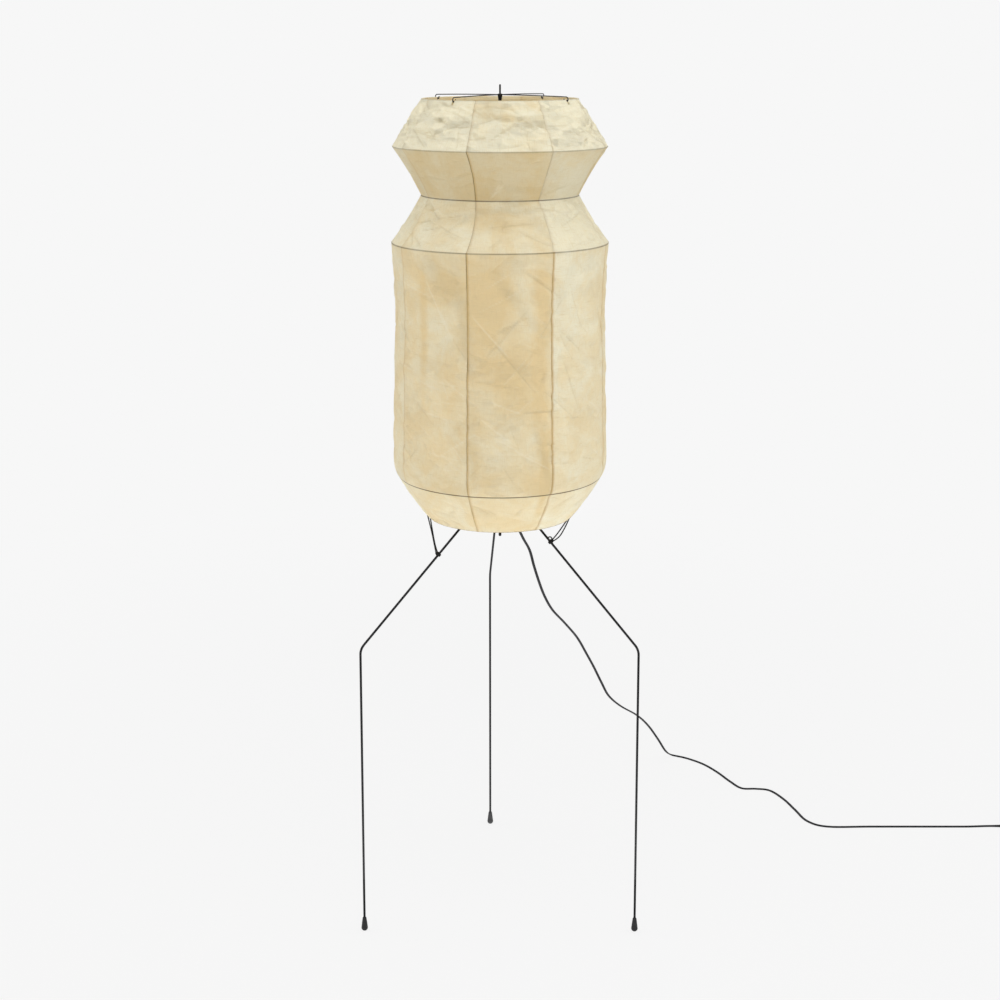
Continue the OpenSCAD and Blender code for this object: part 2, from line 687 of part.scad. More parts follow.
// A thin metal shell with an in-turned flange on the core
module screw_shell() {
    r = screw_shell_bore_d / 2;
    color("#c9a75a") at_holder(contact_z) rotate_extrude() polygon([
        [r - screw_shell_flange, 0], [r + screw_shell_t, 0], [r + screw_shell_t, screw_shell_h],
        [r, screw_shell_h], [r, screw_shell_t], [r - screw_shell_flange, screw_shell_t]]);
}

contact_h = 2.2;
contact_leaf = 0.6;     // thickness of the brass leaf under the raised button

module centre_contact() {
    color("#c9a75a") at_holder(contact_z) union() {
        cylinder(d = 8, h = contact_leaf);
        translate([0, 0, contact_leaf]) cylinder(d1 = 7, d2 = 5, h = contact_h - contact_leaf);
    }
}

knob_gap = 1.2;         // between the shell and the fluted knob
shaft_end = 0.2;        // room at the inner end of the knob's shaft

// A fluted knob on a shaft that turns in the core
module switch_knob() {
    flute_r = knob_d * PI / knob_flutes / 3.2;
    knob_start = shell_r + knob_gap;
    color("#101010") at_holder(knob_z) rotate([0, 90, 0]) {
        translate([0, 0, knob_seat_r + shaft_end])
            cylinder(d = knob_shaft_d, h = knob_start - knob_seat_r);
        translate([0, 0, knob_start]) difference() {
            rotate_extrude() polygon([[0, 0], [knob_d / 2 - 1.2, 0], [knob_d / 2, 2],
                [knob_d / 2, knob_len - 1], [knob_d / 2 - 1, knob_len], [0, knob_len]]);
            for (i = [0:knob_flutes - 1]) rotate([0, 0, 360 / knob_flutes * i])
                translate([knob_d / 2 + flute_r * 0.45, 0, 2.2])
                    cylinder(r = flute_r, h = knob_len, $fn = 24);
        }
    }
}

// ---- bulb ----

bulb_tip_z = contact_z + contact_h + seat;
bulb_tip_h = 5;         // height of the glass insulator and contact under the cap's shell
bulb_wall = 1.2;
bulb_seal = 2.4;        // thickness of the glass over the cap
bulb_shell_z = bulb_tip_z + bulb_tip_h;
bulb_glass_z = bulb_shell_z + bulb_cap_h;

module bulb_cap() {
    r = bulb_cap_d / 2;
    color("#c4c6c8") at_holder(bulb_tip_z) rotate_extrude() polygon([[0, 0], [4, 0], [4.6, 0.6],
        [4.8, 1.6], [r - 3.6, bulb_tip_h], [r, bulb_tip_h + 1.2], [r, bulb_tip_h + bulb_cap_h - 2],
        [r + 0.5, bulb_tip_h + bulb_cap_h - 1], [r + 0.5, bulb_tip_h + bulb_cap_h],
        [0, bulb_tip_h + bulb_cap_h]]);
}

// Pear-shaped glass: a neck that flares in an S-curve into a round crown
module bulb_glass() {
    r = bulb_d / 2;
    neck_r = bulb_cap_d / 2 - 0.6;
    crown_z = bulb_glass_h - r;
    outer = [for (i = [0:10]) let (t = i / 10) [lerp(neck_r, r, smooth(t)), crown_z * t]];
    dome = [for (a = [10:10:90]) [r * cos(a), crown_z + r * sin(a)]];
    inner_r = r - bulb_wall;
    inner_dome = [for (a = [90:-10:0]) [inner_r * cos(a), crown_z + inner_r * sin(a)]];
    inner = [for (i = [9:-1:1]) let (t = i / 10)
        [lerp(neck_r, r, smooth(t)) - bulb_wall, crown_z * t]];
    color("#f4f2ec") at_holder(bulb_glass_z) rotate_extrude($fn = 64)
        polygon(concat([[0, 0]], outer, dome, inner_dome, inner, [[0, bulb_seal]]));
}

// ---- cord, which hangs from the strain relief and runs along the floor ----

floor_lie = cord_t / 2;         // height of the cord's centre where it lies flat
on_edge = cord_w / 2;           // height of its centre where it stands on edge
// The route by hand, from the mast's axis at floor height: [x, y, z]
hang_x = holder_offset * cos(holder_az);
hang_y = holder_offset * sin(holder_az);
route = [[hang_x, hang_y, relief_z], [hang_x, hang_y, 850], [29, 24, 800], [28, 23, 745],
    [29, 25, 702], [40, 42, 669], [53, 65, 638], [61, 79, 605], [70, 94, 572], [81, 113, 537],
    [97, 140, 500], [122, 183, 459], [148, 227, 414], [168, 261, 369], [185, 290, 329],
    [202, 319, 286], [219, 349, 246], [247, 396, 205], [286, 462, 158], [315, 511, 114],
    [342, 557, 62], [360, 589, 24], [374, 607, 6], [393, 606, floor_lie], [417, 590, floor_lie],
    [444, 562, floor_lie], [468, 521, floor_lie], [488, 476, floor_lie], [508, 442, floor_lie],
    [538, 439, floor_lie], [566, 430, floor_lie], [588, 388, floor_lie], [603, 338, floor_lie],
    [619, 286, floor_lie], [655, 261, floor_lie], [740, 261, floor_lie], [850, 261, floor_lie],
    [930, 261, floor_lie], [975, 261, on_edge], [1010, 261, on_edge], [1040, 261, on_edge]];
coil_join = [1056, 261, on_edge];

// Catmull-Rom curve through points a, b, c, d, from b at t = 0 to c at t = 1
function spline(a, b, c, d, t) = 0.5 * (2 * b + (c - a) * t
    + (2 * a - 5 * b + 4 * c - d) * t * t + (3 * b - a - 3 * c + d) * t * t * t);
function route_at(pts, s) = let (i = min(floor(s), len(pts) - 2), t = s - i,
    p = spline(pts[max(0, i - 1)], pts[i], pts[i + 1], pts[min(len(pts) - 1, i + 2)], t))
    [p[0], p[1], max(p[2], floor_lie)];
function line_length(pts) = len(pts) < 2 ? 0
    : [for (i = 0, sum = 0; i < len(pts); sum = sum + (i + 1 < len(pts) ? norm(pts[i + 1] - pts[i]) : 0),
        i = i + 1) sum][len(pts) - 1];

// A ring of the flat cord's section at p, with its wide side along `wide`
function section(p, wide, thick, sides) = let (half_w = cord_w / 2 / cos(180 / sides),
    half_t = cord_t / 2 / (sides % 4 == 0 ? cos(180 / sides) : 1))
    [for (j = [0:sides - 1]) let (a = 360 * (j + 0.5) / sides)
        p + wide * cos(a) * half_w + thick * sin(a) * half_t];

// Faces of a tube whose rings have `sides` points each
function tube_faces(rings, sides) = concat(
    [for (i = [0:rings - 2], j = [0:sides - 1]) let (k = (j + 1) % sides)
        each [[i * sides + j, i * sides + k, (i + 1) * sides + k],
            [i * sides + j, (i + 1) * sides + k, (i + 1) * sides + j]]],
    [for (j = [1:sides - 2]) [0, j + 1, j]],
    [for (j = [1:sides - 2]) let (e = (rings - 1) * sides) [e, e + j, e + j + 1]]);

// A flat-cord tube along a line, given the wide direction at each point
module cord_tube(line, wides, sides) {
    points = [for (i = [0:len(line) - 1]) let (
        run = unit(line[min(i + 1, len(line) - 1)] - line[max(i - 1, 0)]),
        wide = unit(wides[i] - run * (run * wides[i])), thick = cross(run, wide))
        each section(line[i], wide, thick, sides)];
    polyhedron(points, tube_faces(len(line), sides), convexity = 10);
}

// Direction, on the plan, in which the hanging stretch runs to the floor
hang_way = unit([340 - hang_x, 550 - hang_y, 0]);
run_rings = 78;
run_line = concat([for (i = [0:run_rings - 1]) route_at(route, (len(route) - 1) * i / run_rings)],
    [route[len(route) - 1], coil_join]);
// The wide side is level, square to the run, and turns upright before the coil
function level_wide(i) = let (a = run_line[max(0, i - 2)], b = run_line[min(len(run_line) - 1, i + 2)],
    flat = [b[0] - a[0], b[1] - a[1], 0],
    way = norm(flat) < 3 ? hang_way : unit(flat))
    [-way[1], way[0], 0];
turn_start = 985;       // x at which the cord starts to turn upright
turn_len = 45;
function upright_share(i) = min(1, max(0, (run_line[i][0] - turn_start) / turn_len));
run_wides = [for (i = [0:len(run_line) - 1])
    level_wide(i) * cos(90 * upright_share(i)) + [0, 0, 1] * sin(90 * upright_share(i))];

module cord_run() {
    color("#161616") at_mast(0) cord_tube(run_line, run_wides, 8);
}

// The stored coil: the cord stands on edge and spirals in on the floor, climbs
// one width in the half turn at its core, and spirals out again on top
coil_pitch = cord_t + 1.7;  // room between neighbouring turns
coil_layer = cord_w + 0.9;  // room between the two layers
coil_rings_per_turn = 24;
coil_mid = coil_turns + 0.25;
coil_outer_r = coil_inner_r + coil_pitch * coil_mid;
coil_steps = coil_rings_per_turn * (2 * coil_turns) + coil_rings_per_turn / 2;
coil_centre = coil_join + [cord_w, coil_outer_r, 0];
function coil_way(i) = i / coil_rings_per_turn;
function coil_r(w) = coil_inner_r + coil_pitch * abs(w - coil_mid);
function coil_rise(w) = coil_layer * smooth(min(1, max(0, (w - coil_turns) / 0.5)));
function coil_point(i) = let (w = coil_way(i), a = -90 + 360 * w)
    coil_centre + [coil_r(w) * cos(a), coil_r(w) * sin(a), coil_rise(w)];
coil_body = [for (i = [0:coil_steps]) coil_point(i)];
coil_exit = coil_body[len(coil_body) - 1];
plug_drop = coil_exit[2] - plug_t / 2;
coil_tail = 24;             // straight length between the coil and the plug
coil_line = concat([coil_join], coil_body,
    [coil_exit + [coil_tail / 2, 0, -plug_drop * 0.3],
    coil_exit + [coil_tail, 0, -plug_drop], coil_exit + [coil_tail + cord_w, 0, -plug_drop]]);

// Least clear distance between stretches of the coil half a turn or more apart
coil_gap = min([for (i = [0:len(coil_line) - 1], j = [i + coil_rings_per_turn / 2:1:len(coil_line) - 1])
    let (apart = coil_line[j] - coil_line[i], level = norm([apart[0], apart[1]]))
    max(level - cord_t, abs(apart[2]) - cord_w)]);
echo(coil_gap = coil_gap, cord_length = line_length(run_line) + line_length(coil_line));

module cord_coil() {
    color("#161616") at_mast(0) cord_tube(coil_line, [for (p = coil_line) [0, 0, 1]], 6);
}

// ---- plug, lying beside the coil on the cord's end ----

plug_at = coil_line[len(coil_line) - 1];
plug_tail = 14;         // length of the tapered tail on the cord
plug_tail_lap = 1;      // length of that tail inside the body
blade_w = 6.3;
blade_t = 1.5;
blade_len = 17;
blade_spacing = 12.7;

module at_plug() {
    at_mast(0) translate(plug_at) children();
}

// Half an outline with a waisted shoulder and a rounded nose, mirrored in y
function plug_side(w, nose) = [[0, w * 0.28], [plug_len * 0.12, w * 0.36],
    [plug_len * 0.3, w * 0.4], [plug_len * 0.5, w * 0.42], [plug_len * 0.62, w * 0.5],
    for (a = [90:-15:0]) [plug_len - nose + nose * cos(a), w / 2 - nose + nose * sin(a)]];
function mirrored(half) = concat(half, [for (p = backwards(half)) [p[0], -p[1]]]);

module plug_body() {
    color("#161616") at_plug() {
        rotate([0, 90, 0]) rotate_extrude() polygon([[0, 0], [cord_w / 2 + relief_wall, 0],
            [plug_t * 0.3, plug_tail - 2], [plug_t * 0.3, plug_tail + plug_tail_lap],
            [0, plug_tail + plug_tail_lap]]);
        translate([plug_tail, 0, 0]) intersection() {
            translate([0, 0, -plug_t / 2]) linear_extrude(plug_t)
                polygon(mirrored(plug_side(plug_w, 3)));
            rotate([90, 0, 0]) translate([0, 0, -plug_w / 2]) linear_extrude(plug_w)
                polygon(mirrored(plug_side(plug_t, 1.5)));
        }
    }
}

module plug_pins() {
    color("#c8b070") at_plug() for (s = [-1, 1])
        translate([plug_tail + plug_len, s * blade_spacing / 2 - blade_t / 2, -blade_w / 2])
            cube([blade_len, blade_t, blade_w]);
}

hub_collar();
leg(left_az);  // leg_left
leg(right_az);  // leg_right
leg(rear_az);  // leg_rear
foot_cap(left_az);  // foot_cap_left
foot_cap(right_az);  // foot_cap_right
foot_cap(rear_az);  // foot_cap_rear
mast();
spreader_boss();
spreader_arm(1);  // spreader_arm_1
spreader_arm(2);  // spreader_arm_2
spreader_arm(3);  // spreader_arm_3
spreader_arm(4);  // spreader_arm_4
hoop(0);  // hoop_top
hoop(1);  // hoop_shoulder
hoop(2);  // hoop_waist
hoop(3);  // hoop_chest
hoop(4);  // hoop_hip
hoop(5);  // hoop_base
paper_gore(1);  // paper_gore_1
paper_gore(2);  // paper_gore_2
paper_gore(3);  // paper_gore_3
paper_gore(4);  // paper_gore_4
paper_gore(5);  // paper_gore_5
paper_gore(6);  // paper_gore_6
paper_gore(7);  // paper_gore_7
paper_gore(8);  // paper_gore_8
tie(left_az, tie_hoop_azs[0], tie_knot_r);  // tie_left
tie(right_az, tie_hoop_azs[1], right_knot_r);  // tie_right
tie(rear_az, tie_hoop_azs[2], tie_knot_r);  // tie_rear
holder_bracket();
holder_nipple();
nipple_nut();
set_screws();
cord_strain_relief();
holder_cap();
holder_shell();
holder_liner();
holder_core();
screw_shell();
centre_contact();
switch_knob();
bulb_cap();
bulb_glass();
cord_run();
cord_coil();
plug_body();
plug_pins();
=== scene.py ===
import random
from math import cos, pi, radians, sin

import bpy
import numpy as np
from bpy.props import FloatProperty, FloatVectorProperty, PointerProperty
from bpy.types import Operator, Panel, PropertyGroup
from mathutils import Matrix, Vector


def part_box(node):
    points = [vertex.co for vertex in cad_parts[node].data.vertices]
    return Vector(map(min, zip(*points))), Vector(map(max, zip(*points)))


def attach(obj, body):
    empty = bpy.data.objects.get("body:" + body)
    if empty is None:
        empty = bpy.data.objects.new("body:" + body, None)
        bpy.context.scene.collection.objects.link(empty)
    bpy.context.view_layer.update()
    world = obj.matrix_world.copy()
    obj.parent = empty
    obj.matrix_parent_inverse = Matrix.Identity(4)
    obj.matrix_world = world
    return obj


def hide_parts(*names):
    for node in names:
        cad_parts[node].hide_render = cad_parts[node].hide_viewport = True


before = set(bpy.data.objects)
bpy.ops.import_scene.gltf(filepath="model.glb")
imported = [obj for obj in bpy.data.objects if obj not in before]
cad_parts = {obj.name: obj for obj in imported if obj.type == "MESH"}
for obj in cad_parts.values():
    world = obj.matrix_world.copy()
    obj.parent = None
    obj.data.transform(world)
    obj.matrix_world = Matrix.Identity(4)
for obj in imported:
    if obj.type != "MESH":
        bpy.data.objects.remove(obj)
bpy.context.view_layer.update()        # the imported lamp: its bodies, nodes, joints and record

bl_info = {
    "name": "Paper Lantern Floor Lamp",
    "version": (1, 0, 0),
    "blender": (4, 5, 0),
    "location": "View3D > Sidebar > Lantern",
    "description": "Builds the looks of a paper lantern floor lamp round its CAD parts",
    "category": "Object",
}

MM = 0.001

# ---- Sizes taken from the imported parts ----


def vec(*parts):
    return np.array(parts)


def middle(name):
    """The centre of a CAD node's box."""
    low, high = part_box(name)
    return (low + high) / 2


MAST = Vector((middle("mast").x, middle("mast").y, 0))
HOOP_NAMES = ("hoop_top", "hoop_shoulder", "hoop_waist", "hoop_chest", "hoop_hip", "hoop_base")
HOOP_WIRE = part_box("hoop_top")[1].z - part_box("hoop_top")[0].z


def hoop_ring(name):
    """Radius and height of a hoop's centreline."""
    low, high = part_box(name)
    return vec((high.x - low.x - HOOP_WIRE) / 2, (low.z + high.z) / 2)


HOOPS = [hoop_ring(name) for name in HOOP_NAMES]

# Paper, as the gores in the CAD model are laid: thickness, glue line and laps
PAPER_T = 0.3 * MM
GLUE = 0.15 * MM
LAP_W = 4 * MM
HEM_LEN = 7 * MM
GORES = 8
SEAM_AZ = radians(-151.5)
GORE_ANGLE = 2 * pi / GORES
LAP_STEP = PAPER_T + GLUE
WRAP_R = HOOP_WIRE / 2 + GLUE + LAP_STEP / 2 + PAPER_T / 2
ARM_AZ = radians(55.5)
LEG_AZ = {"left": radians(-148.7), "right": radians(-32), "rear": radians(94)}
TIE_AZ = {"left": LEG_AZ["left"] - radians(20), "right": LEG_AZ["right"] + radians(10),
          "rear": LEG_AZ["rear"] + radians(20)}


def linear(code):
    """Linear RGB from an sRGB hex code."""
    parts = [int(code[i:i + 2], 16) / 255 for i in (1, 3, 5)]
    return [c / 12.92 if c <= 0.04045 else ((c + 0.055) / 1.055) ** 2.4 for c in parts]


def rgba(colour):
    return (*colour[:3], 1.0)


# ---- Settings ----


def colour_setting(name, code, description):
    return FloatVectorProperty(name=name, description=description, subtype="COLOR",
                               min=0, max=1, default=linear(code))


def length_setting(name, millimetres, description):
    return FloatProperty(name=name, description=description, subtype="DISTANCE",
                         unit="LENGTH", min=0, default=millimetres * MM)


def power_setting(name, watts, description):
    return FloatProperty(name=name, description=description, default=watts, unit="POWER")


class LanternPaper(PropertyGroup):
    pale: colour_setting("Pale sheet", "#EEEDDB", "Face of the paper where it is thin and pale")
    gold: colour_setting("Golden sheet", "#E9DDB4", "Face of the paper where it is thick and golden")
    pale_light: colour_setting("Light through pale paper", "#FCF4DE", "Light that passes the pale paper")
    gold_light: colour_setting("Light through golden paper", "#F2D694", "Light that passes the golden paper")
    seam: colour_setting("Seam", "#D2AE5E", "Browned glue in the laps")
    # Partly dark glue and partly the painted shadow of a lap's proud edge
    seam_edge_glue_and_shadow: colour_setting("Seam line", "#6E5428", "Dark cut edge of a well glued lap")
    # Colour of the hoop wire's shadow through the paper, painted on it
    wire_shadow: colour_setting("Wire line", "#6B4F1E", "Hoop wire seen through the paper")
    crease_top: length_setting("Top creases", 3.2, "Height of the creases in the top tier")
    crease_body: length_setting("Body creases", 2.5, "Height of the creases in the body")
    seam_bow: length_setting("Seam bow", 4.2, "Sideways bow of the seams below the waist")


class LanternMetal(PropertyGroup):
    lacquer: colour_setting("Lacquer", "#161617", "Black lacquer on the rods")
    spring: colour_setting("Spring wire", "#26262B", "Blued wire of the spreader arms")
    hoop: colour_setting("Hoop wire", "#7A6A4A", "Coppered wire of the hoops")
    brass: colour_setting("Brass", "#B9964F", "Nipple, nut, contacts and plug blades")


class LanternCord(PropertyGroup):
    sheath: colour_setting("Sheath", "#17171A", "Vinyl of the flat cord and the plug")
    width: length_setting("Width", 5.4, "Width of the flat cord")
    thickness: length_setting("Thickness", 2.8, "Thickness of the flat cord")
    tie: colour_setting("Tie", "#1B1A19", "Waxed cord of the ties")
    tie_width: length_setting("Tie width", 2.2, "Diameter of the tie cord")


class LanternStage(PropertyGroup):
    floor: colour_setting("Floor", "#F7F7F7", "Floor and backdrop")
    sky: FloatProperty(name="Sky", description="Strength of the even light all round", default=0.66)
    top_watts: power_setting("Top light", 14, "Power of the light overhead")
    front_watts: power_setting("Front light", 28, "Power of the light in front")
    side_watts: power_setting("Side lights", 24, "Power of each side light")
    low_watts: power_setting("Low light", 3.5, "Power of the light near the floor")


def settings(group):
    return getattr(bpy.context.scene, "lantern_" + group)


# ---- Materials ----


class Nodes:
    """The node tree of a material or a world. Each call adds a node, and a node that is given
    to an input is linked from its first output."""

    def __init__(self, owner):
        owner.use_nodes = True
        self.tree = owner.node_tree
        self.tree.nodes.clear()

    def add(self, kind, inputs=None, **properties):
        """Adds a node, sets its properties, and fills its inputs with values or links."""
        made = self.tree.nodes.new("ShaderNode" + kind)
        for name, value in properties.items():
            setattr(made, name, value)
        for key, value in (inputs or {}).items():
            if isinstance(value, bpy.types.Node):
                value = value.outputs[0]
            if isinstance(value, bpy.types.NodeSocket):
                self.tree.links.new(value, made.inputs[key])
            else:
                made.inputs[key].default_value = value
        return made

    def place(self):
        return self.add("TexCoord").outputs["Object"]

    def noise(self, vector, scale, detail=3.0, rough=0.5, bent=0.0):
        return self.add("TexNoise", {"Vector": vector, "Scale": scale, "Detail": detail,
                                     "Roughness": rough, "Distortion": bent})

    def spread(self, value, low, high, to_low, to_high, kind="LINEAR"):
        """A value whose run from low to high becomes the run from to_low to to_high."""
        return self.add("MapRange", {"Value": value, "From Min": low, "From Max": high, "To Min": to_low,
                                     "To Max": to_high}, interpolation_type=kind)

    def ramp(self, factor, stops):
        """A colour ramp through (position, colour) stops."""
        made = self.add("ValToRGB", {"Fac": factor})
        elements = made.color_ramp.elements
        while len(elements) < len(stops):
            elements.new(0.5)
        for element, (position, colour) in zip(elements, stops):
            element.position, element.color = position, rgba(colour)
        return made

    def mixed(self, factor, a, b, kind="MIX"):
        return self.add("Mix", {"Factor": factor, "A": a, "B": b}, data_type="RGBA",
                        blend_type=kind).outputs["Result"]

    def maths(self, operation, a, b, c=0.0, **properties):
        return self.add("Math", {0: a, 1: b, 2: c}, operation=operation, **properties)

    def vectors(self, operation, *inputs, **named):
        return self.add("VectorMath", {**dict(enumerate(inputs)), **named}, operation=operation)


def new_material(name):
    """A material and the nodes to build its look with."""
    material = bpy.data.materials.new(name)
    return material, Nodes(material)


BULB_THREAD = 3.63        # mm from turn to turn of the bulb's and the contact shell's thread
NIPPLE_THREAD = 1.41      # mm, 18 turns to the inch
THREAD_DEPTH = 0.5 * MM


def solid_finish(name, colour, roughness, metallic=0.0, mottle=0.1, grain_mm=3.0,
                 grain_depth=0.02, coat=0.0, shine=0.5, thread_mm=None):
    """A hard or moulded surface: mottled colour, uneven gloss and a fine grain. grain_mm is
    the size of the grain and grain_depth its depth in mm, shine is how strongly the surface
    mirrors what is round it, and thread_mm is the pitch of a rolled thread about the vertical."""
    material, n = new_material(name)
    place = n.place()
    broad, fine = (n.noise(place, 1 / (size * MM), detail)
                   for size, detail in ((grain_mm * 8, 3), (grain_mm, 4)))
    dark, light = ([min(1, c * share) for c in colour[:3]] for share in (1 - mottle, 1 + mottle))
    bump = n.add("Bump", {"Height": fine, "Strength": 0.35, "Distance": grain_depth * MM})
    if thread_mm:
        rolled = n.add("TexWave", {"Vector": place, "Scale": pi / 10 / (thread_mm * MM)},
                       wave_type="BANDS", bands_direction="Z").outputs["Fac"]
        bump = n.add("Bump", {"Height": rolled, "Normal": bump, "Distance": THREAD_DEPTH})
    shader = n.add("BsdfPrincipled", {
        "Base Color": n.ramp(broad, [(0.3, dark), (0.7, light)]),
        "Roughness": n.spread(broad, 0.3, 0.7, roughness * 0.85, min(1, roughness * 1.15)),
        "Normal": bump, "Metallic": metallic, "Coat Weight": coat, "Specular IOR Level": shine})
    n.add("OutputMaterial", {"Surface": shader})
    return material


PAPER_ROUGHNESS = 0.82
GLOW_SHARE = 0.42         # how much of the paper's look is light that comes through it
RIDGE_WEAR_AND_HIGHLIGHT = 0.26         # how far the sharpest ridge is bleached, partly broken fibres and partly a painted highlight
VALLEY_PAINTED_SHADE = 0.24        # how far the sharpest valley is darkened as painted shade
LAP_BROWN = 0.85          # how far glue browns a well glued lap
LAP_REACH = (3.4 * MM, 7.6 * MM)    # how far from the cut edge the browning ends
EDGE_LINE = (0.2 * MM, 1.3 * MM)    # where the cut edge's dark line begins to fade, and ends
WIRE_SHADOW_WIDTH = (0.4 * MM, 1.7 * MM)    # the same for the wire's painted shadow, on each side of the wire
COCKLE_DEPTH = 0.6 * MM
# Crushed facets of 50 by 24 mm and 17 by 8 mm: how many to the metre across and down the
# sheet, degrees turned, how soft their borders are, and how far they lean
FACETS = ((20.0, 42.0, 9, 0.12, 0.55), (60.0, 125.0, -12, 0.2, 0.3))


def mulberry_paper():
    """Handmade mulberry paper, sized and glued in laps: a matte face whose long fibres and clouded thickness
    show as the light comes through, browner where it is double, with painted highlight and shade on its
    creases, painted shade on its folds and on the tier under the shoulder, and the hoops' painted shadow."""
    look = settings("paper")
    material, n = new_material("mulberry_paper_handmade")
    place = n.place()
    flat = n.add("UVMap", uv_map="cut")

    def marked(name):
        return n.add("Attribute", attribute_name=name).outputs["Fac"]

    def drawn_out(across, down, turn=0.0):
        """The sheet's own plane in patterns per metre across and down it, turned a little."""
        return n.add("Mapping", {"Vector": flat, "Scale": (across, down, 1.0),
                                 "Rotation": (0, 0, radians(turn))})

    # Each sheet has its own tone, clouded in patches of 30 to 90 mm with finer flecks of 5 mm
    clouds = n.noise(place, 14.0, 5.0, 0.62, 0.6)
    flecks = n.noise(place, 190.0, 3.0, 0.6)
    tone = n.maths("ADD", marked("tone"), n.spread(clouds, 0.36, 0.64, -0.22, 0.22, "SMOOTHSTEP"))
    tone = n.maths("ADD", tone, n.spread(flecks, 0.3, 0.7, -0.06, 0.06), use_clamp=True)
    # Fibres are about 0.3 mm wide and 15 mm long, and are drawn 1 mm wide so that they show
    fibres = n.maths("MAXIMUM", n.noise(drawn_out(900.0, 70.0, 24), 1.0, 3.0, 0.5, 0.7),
                     n.noise(drawn_out(65.0, 800.0, -15), 1.0, 3.0, 0.5, 0.7))
    fibre_show = n.ramp(fibres, [(0.54, (0, 0, 0)), (0.8, (0.55, 0.55, 0.55))])
    # Painted shade: the tier under the shoulder and the folds turned from the light are painted darker, and a
    # few places lighter
    thin = n.maths("SUBTRACT", 1.0, marked("thick"))
    painted_shade_factor = n.add("CombineColor", {"Red": thin, "Green": thin, "Blue": thin})
    # The fibres break along a crease and pale its ridge; the ridge is also painted paler as a highlight, and
    # the valley painted darker as shade
    ridge_wear_and_highlight = n.spread(marked("worn"), 0.15, 0.9, 0.0, RIDGE_WEAR_AND_HIGHLIGHT)
    painted_valley_shade = n.spread(marked("worn"), -0.15, -0.9, 0.0, VALLEY_PAINTED_SHADE)

    # A lap is 4 mm wide and browned by its glue. Its cut edge is a thin dark line that comes and goes: partly
    # dark glue and partly the painted shadow of the proud edge
    lap_edge = n.spread(n.noise(place, 160.0, 2.0, 0.55), 0.0, 1.0, *LAP_REACH)
    in_lap = n.spread(marked("seam_away"), 1.0 * MM, lap_edge, LAP_BROWN, 0.0, "SMOOTHSTEP")
    lap_share = n.maths("MULTIPLY", in_lap, marked("glue"))
    at_edge = n.spread(marked("seam_away"), *EDGE_LINE, 1.0, 0.0)
    broken = n.spread(n.noise(place, 45.0, 3.0, 0.55), 0.38, 0.6, 0.55, 1.0)
    edge_glue_and_shadow = n.maths("MULTIPLY", n.maths("MULTIPLY", at_edge, broken), marked("edge_line"))
    # The hoop wire's shadow through the paper is painted as a line 2 mm wide, fainter where the paper stands
    # off it
    on_wire = n.spread(marked("wire_away"), *WIRE_SHADOW_WIDTH, 1.0, 0.0, "SMOOTHSTEP")
    painted_wire_shadow = n.maths("MULTIPLY", n.maths("MULTIPLY", on_wire, marked("wire_show")),
                         n.spread(clouds, 0.35, 0.65, 0.7, 1.0))

    def coloured(pale, gold, fibre, ridge, valley):
        """The sheet's colour from its palest and most golden, for its face or its glow: fibre and valley are
        shares of the gold, the valley's as painted shade, and ridge is the bleached colour of broken fibres
        and a painted highlight."""
        colour = n.mixed(tone, rgba(pale), rgba(gold))
        colour = n.mixed(fibre_show, colour, rgba([c * fibre for c in gold]))
        colour = n.mixed(1.0, colour, painted_shade_factor, "MULTIPLY")
        colour = n.mixed(ridge_wear_and_highlight, colour, rgba(linear(ridge)))
        colour = n.mixed(painted_valley_shade, colour, rgba([c * valley for c in gold]))
        for share, line in ((lap_share, look.seam), (edge_glue_and_shadow, look.seam_edge_glue_and_shadow),
                            (painted_wire_shadow, look.wire_shadow)):
            colour = n.mixed(share, colour, rgba(line))
        return colour

    face = coloured(look.pale, look.gold, 0.86, "#F7F4E6", 0.72)
    glow = coloured(look.pale_light, look.gold_light, 0.84, "#FFFAEA", 0.68)

    # Facets tilt the face, as crumpled and smoothed paper does
    wander = n.noise(place, 22.0, 2.0).outputs["Color"]
    wander = n.vectors("SUBTRACT", wander, (0.5, 0.5, 0.5))
    tilt = (0.0, 0.0, 0.0)
    for across, down, turn, softness, lean in FACETS:
        spot = n.vectors("MULTIPLY_ADD", wander, (0.9, 0.9, 0.9), drawn_out(across, down, turn))
        facet = n.add("TexVoronoi", {"Vector": spot, "Scale": 1.0, "Smoothness": softness},
                      feature="SMOOTH_F1").outputs["Color"]
        facet = n.vectors("SCALE", n.vectors("SUBTRACT", facet, (0.5, 0.5, 0.5)), Scale=lean)
        tilt = n.vectors("ADD", tilt, facet)
    tilt = n.vectors("SCALE", tilt, Scale=marked("crush"))
    leaning = n.vectors("NORMALIZE", n.vectors("ADD", n.add("NewGeometry").outputs["Normal"], tilt))
    # Level crinkles 5 mm apart, left by the drying board, under the cockle of the fibres
    crinkle = n.maths("SUBTRACT", n.noise(drawn_out(24.0, 190.0, 4), 1.0, 3.0, 0.55, 0.5), 0.5)
    cockle = n.noise(place, 90.0, 5.0, 0.6)
    height = n.maths("MULTIPLY_ADD", n.maths("ABSOLUTE", crinkle, 0.0), 2.2, cockle)
    height = n.maths("MULTIPLY_ADD", fibres, 0.3, height)
    bump = n.add("Bump", {"Height": height, "Normal": leaning, "Strength": 0.6, "Distance": COCKLE_DEPTH})
    skin = n.add("BsdfPrincipled", {"Base Color": face, "Roughness": PAPER_ROUGHNESS, "Normal": bump,
                                    "Specular IOR Level": 0.25})
    light = n.add("BsdfTranslucent", {"Color": glow, "Normal": bump})
    n.add("OutputMaterial", {"Surface": n.add("MixShader", {0: GLOW_SHARE, 1: skin, 2: light})})
    return material


